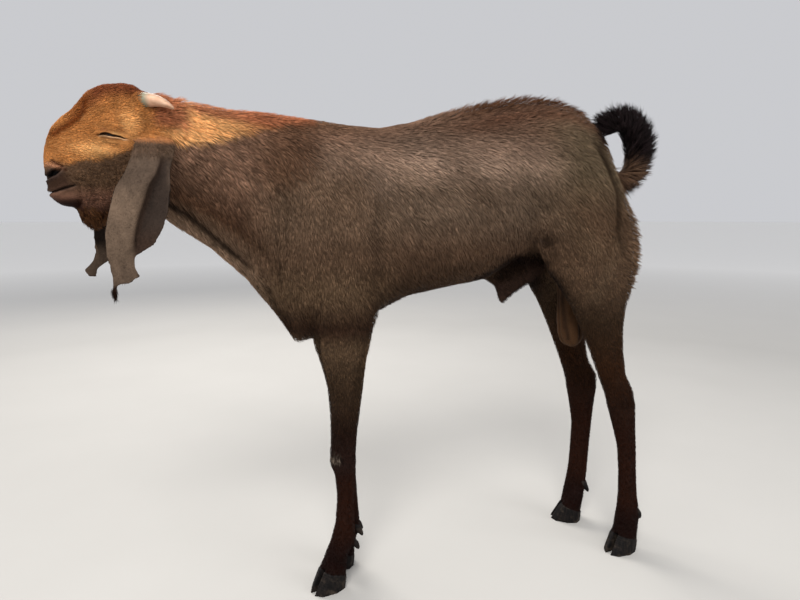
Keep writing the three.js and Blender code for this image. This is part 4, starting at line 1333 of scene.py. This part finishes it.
# For each part: length and width in millimetres, how many tufts to a square centimetre, how far
# their tips are drawn together into locks, how much the locks differ in tone, and how much each
# tuft is darker at its root, painted shade deep in the coat, than at its paler tip. Claws and horns
# have none.
TUFTS = {
    "trunk": (17.0, 0.76, 19.0, 0.40, 0.17, 0.78),
    "neck": (18.0, 0.68, 24.0, 0.48, 0.24, 0.90),
    "head": (7.0, 0.58, 43.0, 0.40, 0.12, 0.42),
    "eye": (3.2, 0.40, 34.0, 0.10, 0.10, 0.30),
    "jaw": (3.2, 0.45, 36.0, 0.15, 0.12, 0.40),
    "beard": (15.0, 0.70, 42.0, 0.60, 0.24, 0.80),
    "ear": (3.0, 0.40, 15.0, 0.0, 0.10, 0.50),
    "tail": (36.0, 0.95, 34.0, 0.60, 0.30, 0.90),
    "scrotum": (3.2, 0.42, 10.0, 0.0, 0.12, 0.50),
    "sheath": (8.0, 0.60, 20.0, 0.40, 0.20, 0.70),
    "upper_leg": (10.0, 0.72, 22.5, 0.38, 0.17, 0.70),
    "cannon": (6.0, 0.66, 24.0, 0.30, 0.18, 0.70),
}
# How many tufts a lock has, and how many lashes an upper lid.
LOCK = 4
LASHES = 110

# Each of the coat's pieces: its slot, and the parts that it covers.
COAT_GROUPS = {
    "coat_body": ("body_coat", ("trunk", "neck")),
    "coat_head": ("head_coat", ("head", "eye", "jaw", "beard", "horn")),
    "coat_ears": ("ear_coat", ("ear",)),
    "coat_tail": ("tail_coat", ("tail",)),
    "coat_legs": ("leg_coat", ("upper_leg", "cannon", "claw")),
    "coat_under": ("bare_skin", ("scrotum", "sheath")),
}


class Skin:
    """The finished skin's arrays, which the tufts grow from."""

    def __init__(self, mesh, labels, depth, flat):
        self.corners = corners_of(mesh)
        self.points = points_of(mesh)
        self.normals = normals_of(mesh)
        self.places = on_goat(self.points)
        self.labels = labels
        self.depth = depth
        self.flat = flat
        net = Net(mesh)
        lie = flat_on(lie_of_coat(self.places, labels), self.normals)
        for _ in range(6):
            lie = flat_on(net.blur(lie, 4), self.normals)
        self.lie = lie


def growth(skin):
    """Each vertex's tuft length, width, tufts to a square centimetre, pull, contrast and relief."""
    labels = skin.labels
    x, y, z = skin.places.T
    s, t, _ = in_head(skin.places)
    spots = pairs(s, z)
    head = is_part(labels, "head", "jaw", "eye")
    ear = is_part(labels, "ear")
    cannon = is_part(labels, "cannon")
    bridge = smooth(s, 0.0, 30.0) * smooth(z, 745.0, 770.0) * head
    crown = smooth(z, 800.0, 835.0) * head
    poll = fall(s, -80.0, -60.0) * smooth(z, 775.0, 800.0) * head
    muzzle = on_muzzle(s, z) * head
    near_eye = bell(off_line(spots, LID_LINE) / 12.0) * head
    above, half = off_lids(s, z)
    rims = smooth(half + 3.2 - np.abs(above + 0.6), -0.8, 0.8) * smooth(half, 0.0, 0.2)
    rims = rims * (np.abs(t) > LIDS_APART)
    mouth = bell(off_line(spots, MOUTH_LINE) / 2.4)
    nostril = fall(in_nostril(s, t, z)[1], 1.0, 3.0) * (s > 40.0)
    bare = np.maximum.reduce([rims, mouth, nostril])
    pastern = fall(z, 60.0, 120.0) * cannon
    back_of_forearm = fall(x, -60.0, -30.0) * smooth(x, -110.0, -90.0) * is_part(labels, "upper_leg")
    belly = fall(skin.normals[:, 2], -0.8, -0.3) * is_part(labels, "trunk")
    fringe = on_fringe(skin.places, labels)
    ridge = on_ridge(skin.places, labels)
    shaggy = np.maximum(ridge, fringe)
    # ginger: where sunlight is painted on the coat; the tufts there differ less in tone.
    ginger = smooth(z - between(s, SUNLIT_LINE), -4.0, 8.0) * is_part(labels, "neck", "trunk", "head")
    ear_base = smooth(z, 730.0, 752.0) * ear
    tassel = ear * (z < TASSEL_TOP) * (np.abs(s + 8.0) < 9.0) * (t > 0.0)

    rows = (by_part(labels, 0.0, **{part: row[i] for part, row in TUFTS.items()}) for i in range(6))
    length, width, count, pull, contrast, relief = rows
    length = length + 2.0 * bridge + 2.5 * crown + 7.0 * poll - 4.2 * muzzle - 3.6 * near_eye
    length = length - 1.5 * pastern + 5.0 * back_of_forearm - 3.0 * belly + 7.0 * fringe + 8.0 * ridge
    length = length + 7.0 * ear_base + 6.0 * tassel
    width = width - 0.30 * muzzle - 0.33 * near_eye + 0.25 * ear_base + 0.15 * shaggy
    count = count * np.where(head, 1.0 - smooth(bare, 0.25, 0.7), 1.0)
    count = count + 24.0 * ear_base + 240.0 * tassel
    count = count * np.where(cannon, smooth(off_callus(x, y, z), 6.0, 9.0), 1.0)
    pull = pull * (1.0 - 0.8 * muzzle) * (1.0 - 0.8 * near_eye) + 0.36 * shaggy + 0.3 * poll
    contrast = contrast * (1.0 - 0.6 * muzzle) * (1.0 - 0.45 * ginger) + 0.10 * shaggy
    relief = relief * (1.0 - 0.35 * ginger) + 0.3 * ear_base
    return np.maximum(length, 1.5), np.maximum(width, 0.3), count, pull, contrast, relief


def on_ridge(places, labels):
    """1 along the top of loin and rump, where the hair stands."""
    x, _, z = places.T
    top = smooth(z - between(x, BACK_LINE), -34.0, -14.0)
    return top * fall(x, -240.0, -60.0) * is_part(labels, "trunk")


def on_fringe(places, labels):
    """1 on the longer hair of the buttocks."""
    x, _, z = places.T
    high = smooth(z, 470.0, 530.0) * fall(z, 660.0, 700.0)
    return fall(x, -570.0, -535.0) * high * is_part(labels, "trunk", "upper_leg")


def scatter(skin, count, rng):
    """Random roots over the skin: each one's face, and its share of that face's three corners."""
    a, b, c = (skin.points[skin.corners[:, i]] for i in range(3))
    area = 0.5 * np.linalg.norm(np.cross(b - a, c - a), axis=1)
    want = area * 1e4 * count[skin.corners].mean(axis=1)
    face = np.repeat(np.arange(len(want)), np.floor(want + rng.random(len(want))).astype(int))
    u, v = rng.random((2, len(face)))
    over = u + v > 1.0
    u, v = np.where(over, 1.0 - u, u), np.where(over, 1.0 - v, v)
    return face, np.stack([1.0 - u - v, u, v], axis=1)


def find_locks(roots, rng):
    """For each tuft, the row of the tuft that leads its lock."""
    leaders = np.flatnonzero(rng.random(len(roots)) * LOCK < 1.0)
    tree = KDTree(len(leaders))
    for row, leader in enumerate(leaders):
        tree.insert(roots[leader], row)
    tree.balance()
    return leaders[[tree.find(root)[1] for root in roots]]


# Corners of one tuft: its foot, a ring of three at its middle, and its tip, then its six faces.
TUFT_FACES = np.array([(2, 1, 0), (3, 2, 0), (1, 3, 0), (1, 2, 4), (2, 3, 4), (3, 1, 4)])
TUFT_FLAT = np.array([(0.5, 0.0), (0.0, 0.5), (0.5, 0.62), (1.0, 0.5), (0.5, 1.0)])
# Each corner's change of tone: the foot painted darker, as shade deep in the coat, and the tip lighter, as
# the hair's own paler tip.
TUFT_TONE = np.array([-0.72, 0.0, 0.0, 0.0, 0.40])


class Tufts:
    """Every tuft of the coat as rows of arrays; lengths are in metres."""

    def __init__(self, **rows):
        self.rows = rows

    def __getattr__(self, name):
        return self.rows[name]

    def some(self, chosen):
        return Tufts(**{name: values[chosen] for name, values in self.rows.items()})


def grow_tufts(name, tufts):
    """A mesh of spindle tufts that leave the skin, bend over and lie along it."""
    reach = tufts.tips - tufts.roots
    ways = unit(reach)
    side = unit(np.cross(tufts.normals, ways))
    foot = tufts.roots - tufts.normals * (0.4 * MM) - ways * (0.3 * MM)
    middle = tufts.roots + 0.42 * reach + tufts.normals * tufts.arch[:, None]
    half = side * (0.5 * tufts.width)[:, None]
    lift = tufts.normals * (0.42 * tufts.width)[:, None]
    points = np.stack([foot, middle + half, middle + lift, middle - half, tufts.tips], axis=1)
    corners = TUFT_FACES[None] + 5 * np.arange(len(reach))[:, None, None]
    mesh = mesh_from(name, points.reshape(-1, 3), corners.reshape(-1, 3))
    tone = 1.0 + tufts.relief[:, None] * TUFT_TONE[None]
    paint(mesh, "coat", (tufts.colour[:, None, :] * tone[:, :, None]).reshape(-1, 3))
    start = np.clip(tufts.flat - 0.5 * PATCH, 0.0, 1.0 - PATCH)
    patch = start[:, None, None, :] + PATCH * TUFT_FLAT[TUFT_FACES][None]
    mesh.uv_layers.new(name="OFBake").uv.foreach_set("vector", patch.astype(np.float32).ravel())
    return mesh


def stand(skin_depth, places, labels, normals, rng):
    """How high each tip stands over the skin, in millimetres."""
    s, t, z = in_head(places)
    count = len(places)
    share = rng.uniform(0.35, 0.95, count)
    crest = 0.8 * smooth(z, 800.0, 822.0) * is_part(labels, "neck")
    poll = fall(s, -80.0, -62.0) * smooth(z, 785.0, 805.0) * is_part(labels, "head")
    upright = np.maximum.reduce([on_ridge(places, labels), crest, on_fringe(places, labels), poll])
    rise = (skin_depth + 4.0 * poll) * (share + upright * rng.uniform(0.0, 0.95, count))
    outer = smooth(np.sum(from_tail_hole(places) * normals, axis=1), -0.2, 0.7)
    bushy = (skin_depth + 7.0 * outer) * rng.uniform(0.3, 1.2, count)
    rise = rise + 3.4 * rng.random(count) * is_part(labels, "ear") * (z < TASSEL_TOP) * (t > 0.0)
    return np.where(is_part(labels, "tail"), bushy, rise)


def make_coat(skin, material):
    """All the tufts, part by part, in pieces that stay small enough to print."""
    rng = np.random.default_rng(SEED)
    length, width, count, pull, contrast, relief = growth(skin)
    face, share = scatter(skin, count, rng)
    spread = skin.corners[face]
    total = len(face)

    def at_roots(values):
        return np.einsum("ij,ij...->i...", share, values[spread])

    normals = unit(at_roots(skin.normals))
    ways = flat_on(at_roots(skin.lie), normals)
    roots = at_roots(skin.points)
    places = on_goat(roots)
    labels = skin.labels[spread[:, 0]]
    wander = 9.0 * ripple(places, 44.0, 3) + 5.0 * ripple(places, 13.0, 4)
    turn = np.radians(wander + rng.normal(0.0, 7.0, total))
    turn *= np.where(is_part(labels, "head", "beard"), 1.4, 1.0)
    ways = ways * np.cos(turn)[:, None] + np.cross(normals, ways) * np.sin(turn)[:, None]
    lengths = at_roots(length) * rng.uniform(0.7, 1.2, total)
    rise = np.minimum(stand(at_roots(skin.depth), places, labels, normals, rng), 0.92 * lengths)
    level = np.sqrt(lengths**2 - rise**2)
    tips = roots + (ways * level[:, None] + normals * rise[:, None]) * MM
    lead = find_locks(roots, rng)
    apart = np.linalg.norm(roots - roots[lead], axis=1) * MM_TO_A_METRE
    drawn = at_roots(pull) * (1.0 - smooth(apart, 6.0, 10.0))
    tips += drawn[:, None] * (tips[lead] - tips)
    spread_tone = at_roots(contrast)
    lock_tone = rng.normal(0.0, 1.0, total)[lead] + 1.4 * (rng.random(total)[lead] > 0.86)
    tone = 1.0 + spread_tone * lock_tone + 0.5 * spread_tone * rng.normal(0.0, 1.0, total)
    tufts = Tufts(
        roots=roots, tips=tips, normals=normals, arch=0.2 * rise * MM,
        width=at_roots(width) * rng.uniform(0.75, 1.25, total) * MM,
        colour=markings(places, normals, labels) * np.clip(tone, 0.4, 2.0)[:, None],
        flat=np.einsum("ij,ijk->ik", share, skin.flat[face]), relief=at_roots(relief),
    )
    for name, (slot, parts) in COAT_GROUPS.items():
        rows = np.flatnonzero(is_part(labels, *parts))
        rows = rows[np.argsort(-places[rows, 0], kind="stable")]
        pieces = max(1, math.ceil(len(rows) / TUFT_LIMIT))
        for i, chosen in enumerate(np.array_split(rows, pieces)):
            piece_name = f"{name}_{i + 1}"
            finish_piece(put(piece_name, grow_tufts(piece_name, tufts.some(chosen))), material, slot)


def make_lashes(skin, material):
    """Dark lashes that hang out over the opening from the edge of each upper lid."""
    rng = np.random.default_rng(SEED + 1)
    s, t, z = in_head(skin.places)
    above, half = off_lids(s, z)
    edge = (half > 0.3) & (np.abs(above - half - 0.5) < 0.5) & (np.abs(t) > LIDS_APART)
    edge = edge & is_part(skin.labels, "eye", "head")
    for side, name in ((1.0, "lashes_left"), (-1.0, "lashes_right")):
        rows = np.flatnonzero(edge & (t * side > 0.0))
        chance = 1.0 + 4.0 * smooth(s[rows], -13.0, -5.0)
        rows = rng.choice(rows, min(len(rows), LASHES), replace=False, p=chance / chance.sum())
        count = len(rows)
        front = smooth(s[rows], -13.0, -5.0)
        ways = np.stack([
            rng.normal(0.1, 0.35, count) + 0.7 * front,
            side * rng.uniform(0.7, 1.1, count),
            rng.uniform(-0.75, -0.15, count),
        ], axis=1)
        lengths = (rng.uniform(3.0, 6.0, count) + 2.0 * front) * MM
        face = np.array([np.flatnonzero((skin.corners == row).any(axis=1))[0] for row in rows])
        tufts = Tufts(
            roots=skin.points[rows], tips=skin.points[rows] + unit(ways) * lengths[:, None],
            normals=skin.normals[rows], arch=np.full(count, 0.3 * MM), width=np.full(count, 0.35 * MM),
            colour=plain(LASH, count) * 0.5, flat=skin.flat[face, 0], relief=np.zeros(count),
        )
        finish_piece(put(name, grow_tufts(name, tufts)), material, "head_coat")


# ---- horns, hooves and eyes ----------------------------------------------------------------------


def horn_path(t):
    """Where the horn's middle line runs, in the head's frame, and the way it points."""
    a, b, c = (np.array(point) for point in HORN_PATH)
    t = np.asarray(t)[:, None]
    middle = a * (1 - t) ** 2 + 2 * b * t * (1 - t) + c * t**2
    return middle, unit(2 * (1 - t) * (b - a) + 2 * t * (c - b))


def make_horn(side, material):
    """A short horn with fine growth rings and a thicker collar at its root."""
    rows = 90
    around = 40
    t = np.linspace(0.085, 1.0, rows)
    middle, ahead = horn_path(t)
    across = unit(np.cross([0.0, 1.0, 0.0], ahead))
    up = np.cross(ahead, across)
    radius = HORN_ROOT + (HORN_TIP - HORN_ROOT) * np.clip(t, 0.0, 1.0) ** HORN_TAPER
    radius = radius * (1.0 + 0.014 * np.sin(t * 62.0) * fall(t, 0.2, 0.75))
    radius = radius + 0.5 * bell((t - 0.18) / 0.06)
    close = np.sqrt(np.clip(1.0 - smooth(t, 0.955, 1.0), 0.0, 1.0))
    angle = 2.0 * math.pi * np.arange(around) / around
    keel = 1.0 + 0.05 * np.cos(angle - 0.5 * math.pi) ** 8
    wave = radius[:, None] * close[:, None] * keel[None]
    ring = across[:, None] * (np.cos(angle) * HORN_FLAT)[None, :, None] * wave[..., None]
    ring = ring + up[:, None] * np.sin(angle)[None, :, None] * wave[..., None]
    spots = (middle[:, None] + ring).reshape(-1, 3)
    spots = np.concatenate([spots, middle[:1], middle[-1:] + ahead[-1:] * 0.4])
    spots[:, 1] *= side
    here = np.arange(around)
    after = (here + 1) % around
    base = around * np.arange(rows - 1)[:, None]
    halves = [
        (here + base, after + base, after + base + around),
        (here + base, after + base + around, here + base + around),
    ]
    faces = [np.stack(half, axis=-1).reshape(-1, 3) for half in halves]
    root = np.stack([after, here, np.full(around, rows * around)], axis=1)
    last = (rows - 1) * around
    point = np.stack([here + last, after + last, np.full(around, rows * around + 1)], axis=1)
    corners = np.concatenate([*faces, root, point])
    name = "horn_left" if side > 0 else "horn_right"
    mesh = mesh_from(name, metres(from_head(spots)), corners)
    form = bmesh.new()
    form.from_mesh(mesh)
    bmesh.ops.recalc_face_normals(form, faces=form.faces)
    form.to_mesh(mesh)
    form.free()
    along = np.append(np.repeat(t, around), [t[0], 1.0])
    # upper: 1 on the horn's top, where the material lays a darker tone
    upper = np.append(np.tile(0.5 + 0.5 * np.cos(angle), rows), [0.5, 0.5])
    paint(mesh, "along", np.stack([along, upper, along], axis=1))
    finish_piece(put(name + "_sheath", mesh), material, "horn", name)


def make_hoof(leg, material):
    """The two claws and two dewclaws of one foot, with growth rings and flat soles."""
    nodes = [name for name in NODES if name.startswith(leg) and "claw" in name]
    form, _ = gather(nodes)
    bmesh.ops.remove_doubles(form, verts=form.verts, dist=1e-6)
    mesh = changed(mesh_of(leg, form), "REMESH", mode="VOXEL", voxel_size=HOOF_VOXEL, adaptivity=0.0)
    mesh = changed(mesh, "TRIANGULATE")
    points = points_of(mesh)
    sole = points[:, 2] < 1.6 * MM
    points = Net(mesh).relax(points, np.where(sole, 1.0, 7.0))
    move_points(mesh, points)
    places = on_goat(points)
    claw = places[:, 2] < 48.0
    height = places[:, 2] - 0.30 * places[:, 0]
    rings = 0.22 * np.sin(height * 2.0 * math.pi / 4.2) + 0.12 * np.sin(height * 2.9 + 1.0)
    rings = np.where(claw, rings, 0.1)
    rough = 0.14 * ripple(places, 5.0, 31)
    out = (rings * smooth(places[:, 2], 3.0, 9.0) + rough) * (1.0 - fall(places[:, 2], 1.0, 3.0))
    points = points + normals_of(mesh) * out[:, None] * MM
    points[:, 2] = np.where(points[:, 2] < 1.4 * MM, 0.0, points[:, 2])
    move_points(mesh, points)
    mesh.shade_smooth()
    finish_piece(put(leg + "_hoof", mesh), material, "hoof", *nodes)


def make_eye(side, material):
    """The eyeball: a clear bulge over a dark amber iris with a long level pupil."""
    form = bmesh.new()
    bmesh.ops.create_uvsphere(form, u_segments=48, v_segments=32, radius=1.0)
    bmesh.ops.triangulate(form, faces=form.faces)
    sphere = mesh_of("sphere", form)
    name = "eye_left" if side > 0 else "eye_right"
    # The sphere's faces come in another order on each run, so they are put in a fixed one.
    mesh = mesh_from(name, points_of(sphere), in_fixed_order(corners_of(sphere)))
    unit_points = points_of(mesh)
    forward, across, up = unit_points.T
    bulge = 1.0 + 0.045 * smooth(across * side, 0.80, 0.97)
    spots = unit_points * bulge[:, None] * EYE_RADIUS + np.array([EYE_AT[0], side * EYE_AT[1], EYE_AT[2]])
    move_points(mesh, metres(from_head(spots)))
    paint(mesh, "gaze", 0.5 + 0.5 * np.stack([forward, across * side, up], axis=1))
    finish_piece(put(name + "_ball", mesh), material, "eye", name)


# ---- materials and floor -------------------------------------------------------------------------


def coat_material():
    """Hair in the markings' colours, with a fine change of tone from tuft to tuft."""
    coat = Material("goat_hair")
    fleck = coat.noise(420.0, 2.0)
    some = 0.12 * fleck.between(0.4, 0.7)
    warm = coat.mix(coat.colour_of("coat"), (1.0, 0.62, 0.38, 1.0), some, "MULTIPLY")
    coat.set(Base_Color=warm, Roughness=0.50 + 0.16 * fleck, Specular_IOR_Level=0.05)
    return coat.material


def skin_material():
    """Skin under the coat: painted darker between the hairs, as shade under the coat, and moist at the nose,
    lips and lids.
    """
    skin = Material("goat_skin")
    bare, wet, _ = skin.numbers_of("finish")
    blotch = skin.noise(34.0, 4.0)
    fine = skin.noise(620.0, 3.0, (0.45, 1.0, 0.8))
    pores = skin.value(skin.node("ShaderNodeTexVoronoi", {}, {"Vector": skin.coordinates(), "Scale": 900.0}))
    # The skin between the hairs is painted darker, as shade under the coat, except where it is bare.
    under = skin.mix(skin.colour_of("coat"), (0.006, 0.003, 0.002, 1.0), 0.42 - 0.42 * bare)
    tinted = skin.mix(under, (0.0, 0.0, 0.0, 1.0), 0.30 * (1.0 - fine.between(0.30, 0.62)))
    skin.set(Base_Color=skin.mix(tinted, skin.colour_of("coat"), 0.35 * blotch.between(0.45, 0.65)))
    skin.set(Roughness=0.74 - 0.36 * wet, Specular_IOR_Level=0.09)
    skin.bump(fine * (1.0 - 0.5 * bare) + pores * (0.25 + 0.35 * bare), 0.5, 0.0006)
    return skin.material


def horn_material():
    """Pinkish cream horn over a grey-green band at its root."""
    horn = Material("horn_sheath")
    along, upper, _ = horn.numbers_of("along")
    streak = horn.noise(160.0, 4.0, (0.25, 1.0, 1.0))
    cloud = horn.noise(60.0, 2.0)
    body = horn.layered(
        shade(220, 182, 154),
        (shade(196, 152, 124), cloud.between(0.35, 0.65)),
        (shade(232, 200, 172), 0.6 * streak.between(0.52, 0.72)),
        (shade(150, 112, 84), 0.75 * (1.0 - streak.between(0.30, 0.46))),
        # darker along the top: partly the horn's grey-brown top edge, partly painted shade against the light
        # from above
        (shade(128, 104, 84), 0.8 * upper.between(0.66, 0.98)),
        (shade(128, 126, 106), 1.0 - along.between(0.24, 0.38)),
        (shade(74, 66, 54), 1.0 - along.between(0.12, 0.20)),
        (shade(150, 116, 90), 0.6 * along.between(0.86, 1.0)),
    )
    horn.set(Base_Color=body, Roughness=0.46 + 0.2 * cloud, Specular_IOR_Level=0.3)
    horn.bump(streak, 0.6, 0.0009)
    return horn.material


def hoof_material():
    """Nearly black horn with an upright grain, and dust on it."""
    hoof = Material("hoof_horn")
    grain = hoof.noise(220.0, 5.0, (1.0, 1.0, 0.22))
    dust = hoof.noise(70.0, 4.0)
    body = hoof.layered(
        shade(10, 8, 8),
        (shade(30, 24, 22), grain.between(0.42, 0.72)),
        (shade(92, 80, 68), 0.30 * dust.between(0.52, 0.70)),
    )
    hoof.set(Base_Color=body, Roughness=0.58 + 0.3 * dust, Specular_IOR_Level=0.14)
    hoof.bump(grain, 0.5, 0.0005)
    return hoof.material


def eye_material():
    """A dark eyeball with an amber iris and a long level pupil."""
    eye = Material("goat_eye")
    forward, _, up = eye.numbers_of("gaze")
    ring = (forward - 0.5) * (forward - 0.5) + (up - 0.5) * (up - 0.5)
    slot = (forward - 0.5) * (forward - 0.5) * 0.22 + (up - 0.5) * (up - 0.5) * 2.2
    fibre = eye.noise(500.0, 3.0)
    iris = eye.mix(shade(58, 36, 16), shade(96, 64, 30), fibre.between(0.4, 0.65))
    iris = eye.mix(shade(12, 9, 8), iris, slot.between(0.006, 0.012))
    ball = eye.mix(iris, shade(34, 22, 18), ring.between(0.085, 0.11))
    eye.set(Base_Color=ball, Roughness=0.10 + 0.06 * fibre, Coat_Weight=0.3)
    return eye.material


def floor_material():
    """Pale grey round the goat, and nearly white far away."""
    floor = Material("studio_floor")
    grain = floor.noise(3.0, 5.0)
    place = floor.node("ShaderNodeTexCoord", {}, {}, "Object")
    length = floor.node("ShaderNodeVectorMath", {"operation": "LENGTH"}, {"Vector": place}, "Value")
    away = floor.value(length)
    near = floor.mix(shade(176, 175, 172), shade(182, 181, 178), grain)
    pale = floor.mix(near, shade(252, 251, 248), away.between(2.6, 7.5))
    floor.set(Base_Color=pale, Roughness=0.9)
    return floor.material


def make_floor():
    form = bmesh.new()
    bmesh.ops.create_circle(form, cap_ends=True, segments=96, radius=FLOOR_RADIUS)
    floor = put("floor", mesh_of("floor", form))
    floor.data.materials.append(floor_material())


# ---- the goat ------------------------------------------------------------------------------------


def finish_of(places, labels):
    """How bare and how moist the skin is."""
    s, t, z = in_head(places)
    spots = pairs(s, z)
    head = is_part(labels, "head", "jaw", "eye")
    lips = bell(off_line(spots, MOUTH_LINE) / 4.0)
    nose = fall(in_nostril(s, t, z)[1], 0.0, 5.0)
    lids = bell(off_line(spots, LID_LINE) / 4.0) * (np.abs(t) > LIDS_APART)
    wet = np.maximum.reduce([0.4 * lips, 0.7 * nose, 0.7 * lids]) * head
    bare = 1.0 * is_part(labels, "scrotum", "sheath") + 0.7 * is_part(labels, "ear")
    bare = np.maximum(bare, 0.4 * on_muzzle(s, z) * head)
    bare = np.clip(bare + 1.3 * wet, 0.0, 1.0)
    return np.stack([bare, wet, np.zeros_like(bare)], axis=1)


def make_goat():
    """The skin, the tufts of the coat over it, and the lashes."""
    mesh, labels, depth = make_skin()
    piece = put("goat_skin", mesh)
    flat = unwrap(piece)
    skin = Skin(mesh, labels, depth, flat)
    paint(mesh, "coat", markings(skin.places, skin.normals, labels))
    paint(mesh, "finish", finish_of(skin.places, labels))
    apart = ("claw", "horn", "eye")
    flesh = [name for name in NODES if not any(word in name for word in apart)]
    finish_piece(piece, skin_material(), "body_coat", *flesh)
    hair = coat_material()
    make_coat(skin, hair)
    make_lashes(skin, hair)


make_camera()
light_studio()
make_floor()
make_goat()
horn_finish = horn_material()
hoof_finish = hoof_material()
eye_finish = eye_material()
for side in (1, -1):
    make_horn(side, horn_finish)
    make_eye(side, eye_finish)
for leg in ("front_left", "front_right", "hind_left", "hind_right"):
    make_hoof(leg, hoof_finish)
